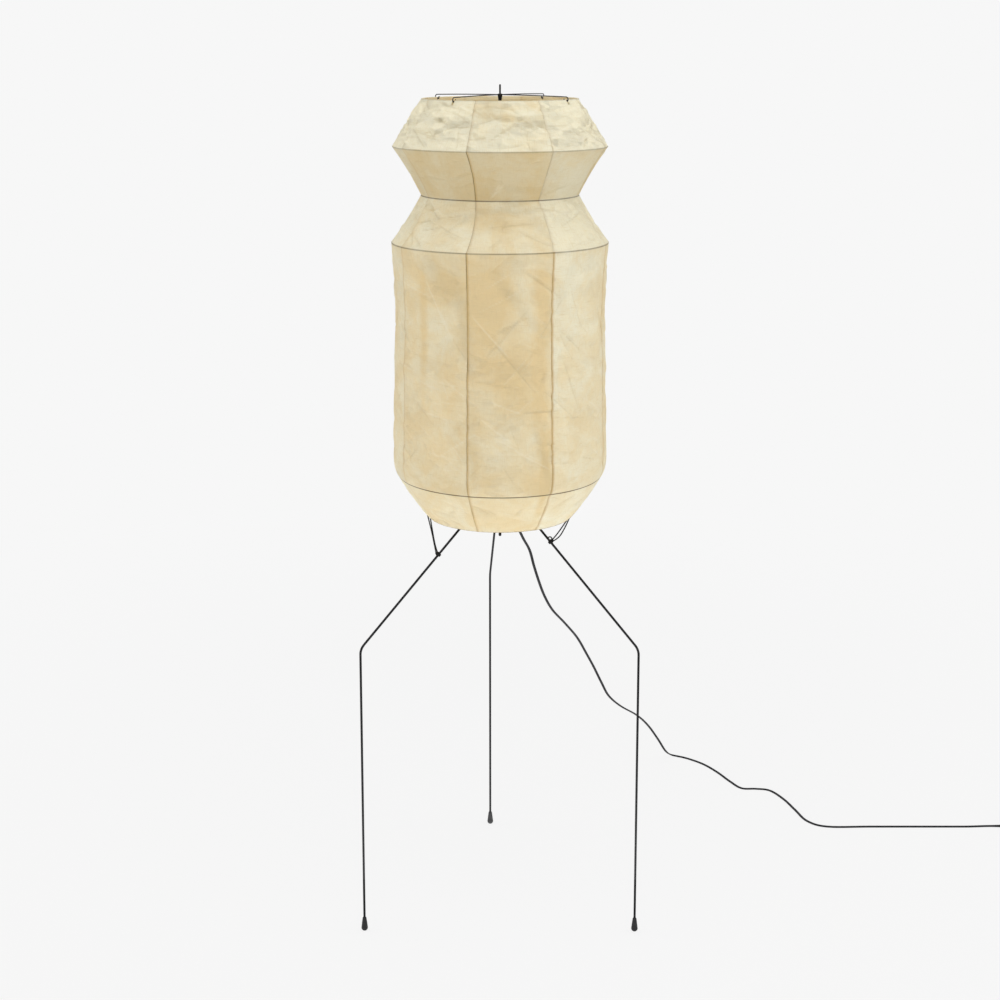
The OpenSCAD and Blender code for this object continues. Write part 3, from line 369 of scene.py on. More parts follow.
def frosted_glass():
    """Blown soda glass, acid-frosted inside: milky, with a smooth outer gloss."""
    material, n = new_material("soda_glass_inside_frosted")
    milk = n.ramp(n.noise(n.place(), 40.0, 2), [(0.3, linear("#EFEDE6")), (0.7, linear("#F8F6F0"))])
    shader = n.add("BsdfPrincipled", {"Base Color": milk, "Roughness": 0.22, "IOR": 1.5,
                                      "Transmission Weight": 0.35, "Coat Weight": 0.4,
                                      "Coat Roughness": 0.05})
    n.add("OutputMaterial", {"Surface": shader})
    return material


def dress_nodes(material, *names):
    """Gives CAD nodes a material."""
    for name in names:
        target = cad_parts[name]
        target.data.materials.clear()
        target.data.materials.append(material)


def finish_nodes(names, *finish, **detail):
    """Gives a solid finish of their own to the CAD nodes whose names begin with one of those
    given in one line."""
    starts = tuple(names.split())
    dress_nodes(solid_finish(*finish, **detail),
                *(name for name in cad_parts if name.startswith(starts)))


# ---- Meshes ----


def shut_selection():
    if bpy.context.object and bpy.context.object.mode != "OBJECT":
        bpy.ops.object.mode_set(mode="OBJECT")
    bpy.ops.object.select_all(action="DESELECT")


def pick(piece):
    shut_selection()
    piece.select_set(True)
    bpy.context.view_layer.objects.active = piece


def mesh_piece(name, points, faces, material):
    """A new smooth piece from points and faces."""
    data = bpy.data.meshes.new(name)
    data.from_pydata([tuple(p) for p in points], [], faces)
    data.update()
    piece = bpy.data.objects.new(name, data)
    bpy.context.scene.collection.objects.link(piece)
    data.materials.append(material)
    data.polygons.foreach_set("use_smooth", [True] * len(data.polygons))
    return piece


def place(piece, body, slot, *replaced):
    """Puts a piece on its body and hides the CAD nodes it stands for. Its finish slot is not used."""
    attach(piece, body)
    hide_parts(*replaced)


def swept_tube(line, ring):
    """Points and faces of a closed tube along a line: ring gives the section at its point i."""
    points, faces = [], []
    for i in range(len(line)):
        points.extend(ring(i))
    sides = len(points) // len(line)
    for i in range(len(line) - 1):
        for j in range(sides):
            k = (j + 1) % sides
            faces.append((i * sides + j, i * sides + k, (i + 1) * sides + k, (i + 1) * sides + j))
    last = (len(line) - 1) * sides
    faces.append(tuple(range(sides - 1, -1, -1)))
    faces.append(tuple(last + j for j in range(sides)))
    return points, faces


def unit(v):
    return v / max(np.linalg.norm(v), 1e-12)


END_DRAWN_IN = 0.55       # share of its radius that a round tube keeps at its ends


def steady_sides(line):
    """A side vector at each point of a line that turns no more than the line does."""
    runs = [unit(line[min(i + 1, len(line) - 1)] - line[max(i - 1, 0)]) for i in range(len(line))]
    start = vec(0.0, 0.0, 1.0) if abs(runs[0][2]) < 0.8 else vec(1.0, 0.0, 0.0)
    side, sides = unit(np.cross(runs[0], start)), []
    for run in runs:
        side = unit(side - run * (side @ run))
        sides.append(side)
    return runs, sides


def round_tube(line, radius, around=10):
    """A round tube along a line of points, its two end rings drawn in."""
    runs, sides = steady_sides(line)

    def ring(i):
        r = radius * (END_DRAWN_IN if i in (0, len(line) - 1) else 1.0)
        up = np.cross(runs[i], sides[i])
        return [line[i] + r * (cos(a) * sides[i] + sin(a) * up)
                for a in (2 * pi * j / around for j in range(around))]
    return swept_tube(line, ring)


def spline_through(points, per_span):
    """Catmull-Rom line through points, with per_span steps between neighbours."""
    pts = [np.array(p, float) for p in points]
    last = len(pts) - 1
    line = []
    for i in range(last):
        a, b, c, d = pts[max(0, i - 1)], pts[i], pts[i + 1], pts[min(last, i + 2)]
        for s in range(per_span):
            t = s / per_span
            line.append(0.5 * (2 * b + (c - a) * t + (2 * a - 5 * b + 4 * c - d) * t * t
                               + (3 * b - a - 3 * c + d) * t ** 3))
    line.append(pts[last])
    return line


# ---- Cord: its route is the one that the CAD model sweeps ----

CORD_W = 5.4
CORD_T = 2.8
LIE = CORD_T / 2          # height of the centre of a cord that lies flat
EDGE = CORD_W / 2         # height of its centre where it stands on edge
HOLDER_R = 38
HOLDER_AZ = radians(40)
HANG = (HOLDER_R * cos(HOLDER_AZ), HOLDER_R * sin(HOLDER_AZ))
RELIEF_Z = 885
ROUTE = [(*HANG, RELIEF_Z), (*HANG, 850), (29, 24, 800), (28, 23, 745),
         (29, 25, 702), (40, 42, 669), (53, 65, 638), (61, 79, 605), (70, 94, 572), (81, 113, 537),
         (97, 140, 500), (122, 183, 459), (148, 227, 414), (168, 261, 369), (185, 290, 329),
         (202, 319, 286), (219, 349, 246), (247, 396, 205), (286, 462, 158), (315, 511, 114),
         (342, 557, 62), (360, 589, 24), (374, 607, 6), (393, 606, LIE), (417, 590, LIE),
         (444, 562, LIE), (468, 521, LIE), (488, 476, LIE), (508, 442, LIE),
         (538, 439, LIE), (566, 430, LIE), (588, 388, LIE), (603, 338, LIE),
         (619, 286, LIE), (655, 261, LIE), (740, 261, LIE), (850, 261, LIE),
         (930, 261, LIE), (975, 261, EDGE), (1010, 261, EDGE), (1040, 261, EDGE)]
COIL_JOIN = vec(1056.0, 261.0, EDGE)
COIL_TURNS = 2.25
COIL_INNER = 25
COIL_PITCH = CORD_T + 1.7
COIL_LAYER = CORD_W + 0.9
COIL_STEPS = 48           # rings in each turn of the coil
PLUG_T = 15
ROUTE_STEPS = 6           # rings between neighbouring points of the route
RISE_FROM, RISE_LEN = 985, 45    # where along x the cord turns on edge, and over what length
HANG_AIM = (340, 550)     # the hanging cord's flat side faces across the way to this point
# The last stretch into the plug: how far past the coil, and how much of the drop is done
PLUG_LEAD = ((4, 0.06), (8, 0.16), (12, 0.3), (16, 0.55), (20, 0.82), (24, 1), (24 + CORD_W, 1))


def ease(t):
    t = min(1.0, max(0.0, t))
    return t * t * (3 - 2 * t)


def cord_centreline():
    """The cord's points in millimetres from the mast's foot, and how far each is turned on edge."""
    run = spline_through(ROUTE, ROUTE_STEPS)
    run = [vec(p[0], p[1], max(p[2], LIE)) for p in run]
    upright = [min(1.0, max(0.0, (p[0] - RISE_FROM) / RISE_LEN)) for p in run]
    mid = COIL_TURNS + 0.25
    outer = COIL_INNER + COIL_PITCH * mid
    centre = COIL_JOIN + vec(CORD_W, outer, 0)
    steps = round(COIL_STEPS * 2 * mid)
    coil = []
    for i in range(steps + 1):
        w = i / COIL_STEPS
        r, a = COIL_INNER + COIL_PITCH * abs(w - mid), radians(-90 + 360 * w)
        coil.append(centre + vec(r * cos(a), r * sin(a),
                                 COIL_LAYER * ease((w - COIL_TURNS) / 0.5)))
    end, drop = coil[-1], coil[-1][2] - PLUG_T / 2
    tail = [end + vec(x, 0, -drop * share) for x, share in PLUG_LEAD]
    line = run + [COIL_JOIN] + coil + tail
    return line, upright + [1.0] * (1 + len(coil) + len(tail))


GROOVE_SHARE = 0.62       # how high the groove's bed lies, as a share of a core's radius


def flat_twin_ring(centre, wide, thick, width, thickness, around=6):
    """Section of a flat twin cord: two round cores side by side with a groove between."""
    r, ring = thickness / 2, []
    reach = width / 2 - r
    for side, first in ((1, -90), (-1, 90)):
        for k in range(around + 1):
            a = radians(first + 180 * k / around)
            ring.append(centre + wide * (side * reach + r * cos(a)) + thick * (r * sin(a)))
        ring.append(centre + thick * (side * GROOVE_SHARE * r))
    return ring


class LANTERN_OT_cord(Operator):
    """Lay the flat twin cord down from the lampholder, over the floor and into its stored coil"""
    bl_idname = "lantern.cord"
    bl_label = "Cord"

    def execute(self, context):
        look = settings("cord")
        line_mm, upright = cord_centreline()
        origin = np.array(MAST)
        line = [origin + p * MM for p in line_mm]
        hang_way = unit(vec(HANG_AIM[0] - HANG[0], HANG_AIM[1] - HANG[1], 0.0))
        wides = []
        for i, p in enumerate(line):
            a, b = line[max(0, i - ROUTE_STEPS)], line[min(len(line) - 1, i + ROUTE_STEPS)]
            level = vec(b[0] - a[0], b[1] - a[1], 0.0)
            way = hang_way if np.linalg.norm(level) < 10 * MM else unit(level)
            turn = upright[i] * pi / 2
            wides.append(vec(-way[1], way[0], 0) * cos(turn) + vec(0, 0, 1) * sin(turn))

        def ring(i):
            run = unit(line[min(i + 1, len(line) - 1)] - line[max(i - 1, 0)])
            wide = unit(wides[i] - run * (run @ wides[i]))
            return flat_twin_ring(line[i], wide, np.cross(run, wide), look.width, look.thickness)

        # Extruded vinyl: a soft matte black with a dull streak of light along each core
        sheath = solid_finish("vinyl_cord_sheath_extruded", look.sheath, 0.5, mottle=0.08,
                              grain_mm=1.2, grain_depth=0.03, shine=0.15)
        points, faces = swept_tube(line, ring)
        cord = mesh_piece("cord", points, faces, sheath)
        place(cord, "lamp", "cord_vinyl", "cord_run", "cord_coil")
        dress_nodes(sheath, "plug_body", "cord_strain_relief")
        return {"FINISHED"}


# ---- Paper shade ----

BOWS = (0.5 * MM, -2 * MM, -2 * MM, 0.0, 2 * MM)    # outward bow of each tier
BODY_SAG = 3.5 * MM
BODY_BELLY = 7 * MM
RING_STEP = {0: 1.9 * MM, 3: 2.7 * MM}    # distance between the mesh's rings, by tier
PLAIN_STEP = 2.4 * MM
COLUMN_COUNT = 74         # columns across a gore
# How golden each of the eight sheets is, in their own order
SHEET_TONES = (0.5, 0.62, 0.2, 0.35, 0.6, 0.4, 0.55, 0.3)
# How golden each tier is on top of that, from the top one down, painted as light falls: paler on the tiers
# that face up and more golden on the one under the shoulder, which faces down
TIER_TONES_PAINTED_LIGHT = {0: -0.6, 1: 0.2, 2: -0.3, 3: 0.06, 4: 0.0}
# How far the paper of each tier is crushed
TIER_CRUSH = {0: 1.55, 1: 0.35, 2: 0.85, 3: 0.85, 4: 0.4}
# How much darker each tier is painted as shade: the one under the shoulder faces down
TIER_PAINTED_SHADE = {1: 0.09}
# How plainly the glue shows in the laps of the tiers where that isn't in full
TIER_GLUE = {0: 0.3, 1: 0.8, 2: 0.4, 4: 0.7}
# How strongly each hoop wire's shadow through the paper is painted, from the top one down
WIRE_SHADOW_STRENGTH = (0.2, 0.3, 0.8, 0.6, 1.0, 0.5)
# Clouds in the paper that show plainly: degrees round from the front to the viewer's right,
# height, half width, half height in millimetres, lean to the right per unit down, and how much
# more golden or paler
PAPER_CLOUDS_AND_FOLD_SHADE = ((-6, 1130, 40, 70, 0.15, 0.5), (14, 1110, 26, 60, 0.1, -0.2), (22, 1030, 14, 150, 0.0, 0.4),
          (3, 990, 30, 60, 0.5, 0.25), (6, 880, 46, 55, -0.1, -0.4), (-17, 960, 22, 90, 0.0, 0.15),
          (-33, 1090, 30, 85, 0.2, -0.25), (-44, 1060, 9, 90, 0.0, 0.5), (-37, 905, 26, 70, 0.1, -0.1),
          (-24, 830, 20, 40, 0.3, 0.1), (35, 1100, 30, 80, -0.2, -0.3), (44, 900, 30, 60, 0.0, 0.15),
          (-6, 1242, 34, 18, 0.0, 0.4), (24, 820, 8, 60, 0.0, 0.6), (8, 1419, 60, 7, 0.0, 0.35),
          (-30, 1140, 50, 55, 0.2, 0.35), (-30, 990, 30, 50, 0.0, 0.12),
          # The last cloud is painted shade: it turns the fold in the top tier's middle golden, with the first
          # fold shade
          (3, 1402, 32, 9, 1.9, 0.6))
# Soft shades where a fold turns the paper away from the light, in the same terms, with the
# share of its colour that the fold takes or gives
FOLD_SHADES = ((3, 1402, 30, 9, 1.9, 0.07), (-22, 1390, 34, 7, 0.9, 0.06), (27, 1391, 26, 8, 1.4, 0.06),
               (10, 1377, 26, 5, -1.6, 0.06), (-30, 1372, 16, 9, -0.8, 0.05), (4, 1258, 52, 6, 0.3, 0.06),
               (-20, 1248, 22, 8, -1.6, 0.06), (24, 1236, 14, 16, 0.6, 0.05), (8, 1120, 12, 60, 0.75, 0.05),
               (-19, 1090, 11, 90, 0.15, 0.05), (-34, 1150, 22, 40, 0.6, 0.04), (36, 1140, 14, 50, -0.5, 0.03),
               (24, 850, 8, 55, 0.3, 0.05), (-14, 870, 9, 70, 0.1, 0.04),
               (-34, 900, 34, 70, 0.0, -0.025), (34, 930, 30, 110, 0.0, -0.02))


# Creases that are placed in the body: degrees round from the front, distance down the tier,
# degrees turned, half length, width above, width below and height in millimetres
PLACED_CREASES = (
    (-33, 0.24, 62, 62, 20, 6.5, 3.8), (-5, 0.33, 48, 48, 18, 7.0, 3.6), (3, 0.62, 22, 34, 16, 6.0, 3.6),
    (9, 0.47, 50, 52, 20, 7.0, -3.4), (-22, 0.78, -34, 40, 18, 6.0, 3.2), (17, 0.84, 30, 40, 18, 6.0, 3.2),
    (40, 0.3, -58, 60, 18, 7.0, 3.0), (33, 0.62, 40, 40, 16, 6.0, -2.6), (-38, 0.55, 12, 30, 14, 5.0, 2.6))
CREASE_SEED = 11
CREASE_NARROW = (2.5, 5)  # mm, the steep side of a crease
# Creases at random, by tier: how many, spread of their turn in radians, half lengths and wide
# sides in millimetres, and heights as shares of the setting
PLAIN_CREASES = (0.5, (9, 38), (7, 18), (0.3, 1.15))
RANDOM_CREASES = {0: (300, 0.42, (9, 44), (6, 15), (0.3, 1.15)), 1: (40, *PLAIN_CREASES),
                  2: (110, *PLAIN_CREASES), 3: (360, 1.2, (8, 52), (8, 26), (0.15, 1.15)),
                  4: (60, *PLAIN_CREASES)}
CREASE_MARK_HEIGHT = 2.4 * MM    # a crease as high as this is marked in full: a ridge with wear and painted highlight, a valley with painted shade
CREASE_MARK_REACH = 2.0 * MM     # how far the mark reaches to each side of its line
MOST_OUT = 1.6 * MM       # stretched paper gives inwards more than it stands out
MOST_IN = 4.5 * MM
SPOT_RIM = 1.35           # a soft spot fades out at this many of its half widths
WRAP_STEP = 15            # degrees between the mesh's rings round the wires of the mouths
LEAVES_AT = 30            # degrees above the level at which the paper leaves the mouths' wires
EYE_NOTCH = (2.0 * MM, 5.8 * MM)    # half width and reach of the notch at an arm's eye
TIE_NOTCH = (2.4 * MM, 3.6 * MM)    # the same at a tie
NOTCH_NEAR = radians(3)        # a notch this near to a gore's edge cuts that gore too


def kink_point(k):
    """Where the paper turns over hoop k, just outside its wire."""
    steep = min(abs(unit(HOOPS[k + 1] - HOOPS[k])[1]), abs(unit(HOOPS[k] - HOOPS[k - 1])[1]))
    return HOOPS[k] + vec(WRAP_R / steep, 0)


def wrap_point(k, degrees):
    a = radians(degrees)
    return HOOPS[k] + WRAP_R * vec(cos(a), sin(a))


def tier_line(a, b, tier):
    """Points from a to b, bowed outwards, with a itself and without b."""
    side, bow = unit(vec(a[1] - b[1], b[0] - a[0])), BOWS[tier]
    count = round(np.linalg.norm(b - a) / RING_STEP.get(tier, PLAIN_STEP))
    return [a + (b - a) * (i / count) + side * bow * 4 * (i / count) * (1 - i / count) for i in range(count)]


def body_line(a, b):
    """The body sags a little under its top hoop and bellies out above its bottom one."""
    count = round(np.linalg.norm(b - a) / RING_STEP[3])
    line = []
    for i in range(count):
        t = i / count
        belly = BODY_BELLY * 1.6 * t ** 4 * (1 - t ** 24)    # 1.6 makes its peak BODY_BELLY
        sag = BODY_SAG * sin(pi * min(1, t * 2))
        line.append(a + (b - a) * t + vec(belly - sag, 0))
    return line


def paper_profile():
    """The paper's mid-line from the top hem to the bottom hem, with the tier of each point
    and how far down its tier it lies. Tier -1 is the top hem and wrap, 5 the bottom one."""
    kinks = [kink_point(k) for k in range(1, 5)]
    parts = [(-1, [wrap_point(0, 180) - vec(0, HEM_LEN * s) for s in (1, 0.5)]
              + [wrap_point(0, a) for a in range(180, LEAVES_AT, -WRAP_STEP)]),
             (0, tier_line(wrap_point(0, LEAVES_AT), kinks[0], 0)),
             (1, tier_line(kinks[0], kinks[1], 1)),
             (2, tier_line(kinks[1], kinks[2], 2)),
             (3, body_line(kinks[2], kinks[3])),
             (4, tier_line(kinks[3], wrap_point(5, -LEAVES_AT), 4)),
             (5, [wrap_point(5, a) for a in range(-LEAVES_AT, -180, -WRAP_STEP)]
              + [wrap_point(5, 180) + vec(0, HEM_LEN * s) for s in (0, 0.5, 1)])]
    rows = [(p, tier, i / len(line)) for tier, line in parts for i, p in enumerate(line)]
    return tuple(np.array(column) for column in zip(*rows))


def by_tier(tiers, values, otherwise=0.0):
    """A column that gives each ring the value of its tier."""
    return np.array([values.get(t, otherwise) for t in tiers])[:, None]


def crease_list():
    """Creases all round the shade, each (angle, distance down its tier, tier, turn, half
    length, width above it, width below it, height): many level ones in the top tier, long
    slanting ones in the body, and a few that are placed where they show most."""
    look, rng = settings("paper"), random.Random(CREASE_SEED)
    made = [(radians(angle - 90), down, 3, radians(turn), *(v * MM for v in sizes))
            for angle, down, turn, *sizes in PLACED_CREASES]
    for tier, (count, spread, halves, wides, shares) in RANDOM_CREASES.items():
        for _ in range(count):
            around, down = rng.uniform(0, 2 * pi), rng.uniform(0.04, 0.96)
            if tier == 3:
                turn = rng.choice((-1, 1)) * rng.uniform(0.0, spread)
            else:
                turn = rng.gauss(0, spread)
            half = rng.uniform(*halves) * MM
            widths = [rng.uniform(*CREASE_NARROW) * MM, rng.uniform(*wides) * MM]
            height = rng.uniform(*shares) * (look.crease_body if tier else look.crease_top)
            if rng.random() < 0.5:
                widths.reverse()
            made.append((around, down, tier, turn, half, *widths, height * rng.choice((-1, 1))))
    return made


def crease_field(profile, tiers, shares, angles):
    """How far the paper stands out at every ring and angle, and how its creases are marked there, from 1 on a
    sharp ridge, paled by wear and a painted highlight, to -1 in a sharp valley darkened by painted shade."""
    lengths = run_lengths(profile)
    out, worn = np.zeros(angles.shape), np.zeros(angles.shape)
    for around, down, tier, turn, half, above, below, height in crease_list():
        rows = np.where(tiers == tier)[0]
        first, last = lengths[rows[0]], lengths[rows[-1] + 1]
        centre = first + (last - first) * down
        near = rows[np.abs(lengths[rows] - centre) < half + above + below]
        turned = (angles[near] - around + pi) % (2 * pi) - pi
        x = turned * profile[near, 0][:, None]
        if not len(near) or np.abs(x).min() > half + above + below:
            continue
        y = np.broadcast_to((lengths[near] - centre)[:, None], x.shape)
        along = x * cos(turn) + y * sin(turn)
        across = y * cos(turn) - x * sin(turn)
        taper = np.clip(1 - (along / half) ** 2, 0, 1)
        width = np.where(across < 0, above, below) * (0.3 + 0.7 * taper)
        out[near] += height * taper * np.clip(1 - np.abs(across) / width, 0, 1)
        worn[near] += height / CREASE_MARK_HEIGHT * np.sqrt(taper) * np.clip(1 - np.abs(across) / CREASE_MARK_REACH, 0, 1)
    limit = np.where(out > 0, MOST_OUT, MOST_IN)
    out = np.tanh(out / limit) * limit
    # The wires hold the paper still over the nearest ninth of each tier
    hold = np.clip(np.minimum(shares, 1 - shares) * 9, 0, 1)
    hold[(tiers == -1) | (tiers == 5)] = 0
    return out * hold[:, None], np.clip(worn, -1, 1) * hold[:, None]


def run_lengths(line):
    """Distance of each point of a line from its start."""
    return np.concatenate([[0], np.cumsum(np.linalg.norm(np.diff(line, axis=0), axis=1))])


def seam_sway(tiers, shares):
    """How far the seams sway sideways between the hoops on both sides of the waist."""
    bow = settings("paper").seam_bow
    return by_tier(tiers, {1: 0.5 * bow, 2: bow})[:, 0] * 4 * shares * (1 - shares)


def clouded(profile, tiers, angles, tier_shares, spots):
    """A share at every ring and angle of the paper, by its tier and the soft spots placed on it."""
    turned = (angles + pi / 2 + pi) % (2 * pi) - pi
    total = by_tier(tiers, tier_shares) + np.zeros(angles.shape)
    for angle, height, half_width, half_height, lean, change in spots:
        down = (height * MM - profile[:, 1])[:, None]
        across = (turned - radians(angle)) * profile[:, 0][:, None] - lean * down
        reach = np.sqrt((across / (half_width * MM)) ** 2 + (down / (half_height * MM)) ** 2)
        total += change * np.clip(SPOT_RIM - reach, 0, 1)
    return total


def line_normals(profile):
    """Outward normals of the paper's mid-line."""
    steps = np.diff(profile, axis=0)
    steps /= np.linalg.norm(steps, axis=1)[:, None]
    mean = np.vstack([steps[:1], steps]) + np.vstack([steps, steps[-1:]])
    mean /= np.linalg.norm(mean, axis=1)[:, None]
    return np.stack([-mean[:, 1], mean[:, 0]], axis=1)


def gore_points(index, profile, tiers, shares, normals):
    """Grid of mid-surface points, normals and angles of one gore, and how far each point lies
    across the sheet from its middle."""
    mid = SEAM_AZ + GORE_ANGLE * (index - 0.5)
    lap = LAP_W / HOOPS[3][0]
    over_wire = np.isin(tiers, (-1, 5)) & (np.abs(normals[:, 1]) > 0.5)
    span = np.where(over_wire, GORE_ANGLE - GLUE / profile[:, 0], GORE_ANGLE + lap)
    sway = seam_sway(tiers, shares) / profile[:, 0]
    columns = np.linspace(0, 1, COLUMN_COUNT)
    angles = mid - GORE_ANGLE / 2 - lap / 2 + sway[:, None] + span[:, None] * columns[None, :]
    out, worn = crease_field(profile, tiers, shares, angles)
    r, z = (profile[:, k][:, None] + normals[:, k][:, None] * out for k in (0, 1))
    # Each gore is turned a little about its middle, so that one edge lies over the next gore's
    shift = LAP_STEP / 2 / sin(GORE_ANGLE / 2)
    x = MAST.x + r * np.cos(angles) + shift * sin(mid)
    y = MAST.y + r * np.sin(angles) - shift * cos(mid)
    nr, nz = (np.broadcast_to(normals[:, k][:, None], angles.shape) for k in (0, 1))
    ways = np.stack([nr * np.cos(angles), nr * np.sin(angles), nz], axis=2)
    return np.stack([x, y, z], axis=2), ways, columns, span * profile[:, 0], angles, worn


def wire_marks(profile, lengths):
    """Distance down the paper from each ring to the nearest hoop, and how strongly its wire's shadow is
    painted there.
    """
    spots = [wrap_point(0, 40)] + [kink_point(k) for k in range(1, 5)] + [wrap_point(5, -40)]
    marks = np.array([lengths[int(np.argmin(np.linalg.norm(profile - spot, axis=1)))] for spot in spots])
    gaps = np.abs(lengths[:, None] - marks[None, :])
    return gaps.min(axis=1), np.array(WIRE_SHADOW_STRENGTH)[gaps.argmin(axis=1)]


def seam_marks(index, columns, tiers, shares):
    """How plainly the glue and the cut edge show at each point of a gore's laps. The seam left of the front
    gore is tight, with a dark edge line in places, partly glue and partly painted shadow, and the one right of
    it is broad and golden down the body."""
    left, inner = columns < 0.5, by_tier(tiers, {0: 0.5, 4: 0.5}, 1.0)
    tight = np.where(left, index == 2, index == 1)[None, :]
    broad = np.where(left, index == 3, index == 2)[None, :]
    dark_stretch = ((tiers == 1) | ((tiers == 3) & (shares < 0.14)))[:, None]
    edge = np.where(tight & dark_stretch, 0.9, np.where(tight, 0.45, 0.0)) * inner
    glue = np.where(tight, 0.65, np.where(broad, 0.75, 0.25)) * by_tier(tiers, TIER_GLUE, 1.0)
    return np.where(broad & (tiers < 3)[:, None], 0.15, glue), edge


def gore_piece(index, profile, tiers, shares, normals, material):
    """One gore as a closed sheet of outer face, inner face and rim, with its area, width and
    length laid flat."""
    grid, ways, columns, widths, angles, worn = gore_points(index, profile, tiers, shares, normals)
    rows, cols = grid.shape[:2]
    outer, inner = ((grid + ways * side * PAPER_T / 2).reshape(-1, 3) for side in (1, -1))
    count = rows * cols
    faces = []
    for i in range(rows - 1):
        for j in range(cols - 1):
            a, d = i * cols + j, (i + 1) * cols + j
            faces.append((a, d, d + 1, a + 1))
            faces.append((count + a, count + a + 1, count + d + 1, count + d))
    rim = ([i * cols for i in range(rows)]
           + [(rows - 1) * cols + j for j in range(1, cols)]
           + [i * cols + cols - 1 for i in range(rows - 2, -1, -1)]
           + [j for j in range(cols - 2, 0, -1)])
    for a, b in zip(rim, rim[1:] + rim[:1]):
        faces.append((a, count + a, count + b, b))
    gore = mesh_piece(f"paper_gore_{index}_sheet", np.vstack([outer, inner]), faces, material)
    data = gore.data
    # A flat rim keeps the two faces' shading clear of the cut edge
    data.polygons.foreach_set("use_smooth", [i < len(faces) - len(rim) for i in range(len(faces))])

    lengths = run_lengths(profile)
    glue, edge = seam_marks(index, columns, tiers, shares)
    wire, show = (v[:, None] for v in wire_marks(profile, lengths))
    marks = {"seam_away": np.minimum(columns, 1 - columns)[None, :] * widths[:, None],
             "wire_away": wire, "wire_show": show, "edge_line": edge, "glue": glue, "worn": worn,
             "crush": by_tier(tiers, TIER_CRUSH),
             # thick carries painted shade: the tier under the shoulder and the folds turned from the light
             "thick": clouded(profile, tiers, angles, TIER_PAINTED_SHADE, FOLD_SHADES),
             "tone": clouded(profile, tiers, angles, TIER_TONES_PAINTED_LIGHT, PAPER_CLOUDS_AND_FOLD_SHADE) + SHEET_TONES[index - 1]}
    for name, values in marks.items():
        flat = np.tile(np.broadcast_to(values, (rows, cols)).ravel(), 2).astype(np.float32)
        data.attributes.new(name, "FLOAT", "POINT").data.foreach_set("value", flat)
    # The sheet laid flat, in metres across and down it, for the grain of its fibres
    across = ((columns - 0.5)[None, :] * widths[:, None]).ravel()
    cut = np.stack([np.tile(across, 2), np.tile(np.repeat(lengths, cols), 2)], axis=1)
    corner = np.zeros(len(data.loops), np.int32)
    data.loops.foreach_get("vertex_index", corner)
    data.uv_layers.new(name="cut").data.foreach_set("uv", cut[corner].ravel().astype(np.float32))
    return gore, float((widths[:-1] * np.diff(lengths)).sum()), float(widths.max()), float(lengths[-1])


def notch(piece, azimuth, hoop, half_width, reach):
    """Cuts the hem open where an eye or a tie reaches the wire."""
    shut_selection()
    spot = MAST + Vector((hoop[0] * cos(azimuth), hoop[0] * sin(azimuth), hoop[1]))
    bpy.ops.mesh.primitive_cube_add(size=1, location=spot, rotation=(0, 0, azimuth))
    cutter = bpy.context.object
    cutter.scale = (2 * reach, 2 * half_width, 2 * reach)
    pick(piece)
    cut = piece.modifiers.new("notch", "BOOLEAN")
    cut.operation, cut.object, cut.solver = "DIFFERENCE", cutter, "EXACT"
    bpy.ops.object.modifier_apply(modifier=cut.name)
    bpy.data.objects.remove(cutter)


class LANTERN_OT_paper(Operator):
    """Make the eight lapped paper gores, creased between the hoops and hemmed at both mouths"""
    bl_idname = "lantern.paper"
    bl_label = "Paper gores"

    def execute(self, context):
        material = mulberry_paper()
        profile, tiers, shares = paper_profile()
        normals = line_normals(profile)
        for index in range(1, GORES + 1):
            gore, area, width, length = gore_piece(index, profile, tiers, shares, normals, material)
            mid = SEAM_AZ + GORE_ANGLE * (index - 0.5)
            eyes = [(ARM_AZ + pi / 2 * k, HOOPS[0], *EYE_NOTCH) for k in range(4)]
            ties = [(azimuth, HOOPS[5], *TIE_NOTCH) for azimuth in TIE_AZ.values()]
            for azimuth, *where in eyes + ties:
                apart = abs((azimuth - mid + 3 * pi) % (2 * pi) - pi)
                if apart < GORE_ANGLE / 2 + NOTCH_NEAR:
                    notch(gore, azimuth, *where)
            place(gore, "lamp", "mulberry_paper", f"paper_gore_{index}")
        return {"FINISHED"}


# ---- Metal parts ----


class LANTERN_OT_stand(Operator):
    """Finish the legs, hub, mast, bracket and rubber feet"""
    bl_idname = "lantern.stand"
    bl_label = "Stand"

    def execute(self, context):
        look = settings("metal")
        # Brushed lacquer: nearly black and dull, a little uneven along the rods
        finish_nodes("leg_ hub_collar mast holder_bracket spreader_boss", "black_lacquer_on_steel_rod",
                     look.lacquer, 0.5, mottle=0.12, grain_mm=1.6, grain_depth=0.04, shine=0.12)
        # Moulded rubber: flat and sooty, with a fine tooth
        finish_nodes("foot_cap_", "rubber_foot_moulded", linear("#161618"), 0.72,
                     mottle=0.15, grain_mm=0.9, grain_depth=0.06)
        # Blackened steel: dark grey and half bright
        finish_nodes("set_screws", "blackened_steel_screw", linear("#3A3A3D"), 0.42,
                     metallic=0.9, grain_mm=0.8)
        return {"FINISHED"}


class LANTERN_OT_wires(Operator):
    """Finish the spreader arms and the hoops"""
    bl_idname = "lantern.wires"
    bl_label = "Wires"

    def execute(self, context):
        look = settings("metal")
        # Drawn blued wire: blue-black, paler in patches where the blueing is thin
        finish_nodes("spreader_arm_", "blued_spring_wire_drawn", look.spring, 0.42,
                     metallic=0.2, mottle=0.25, grain_mm=1.0, shine=0.2)
        # Drawn coppered wire: a dull brown gleam
        finish_nodes("hoop_", "coppered_hoop_wire_drawn", look.hoop, 0.5,
                     metallic=0.7, mottle=0.2, grain_mm=1.0)
        return {"FINISHED"}


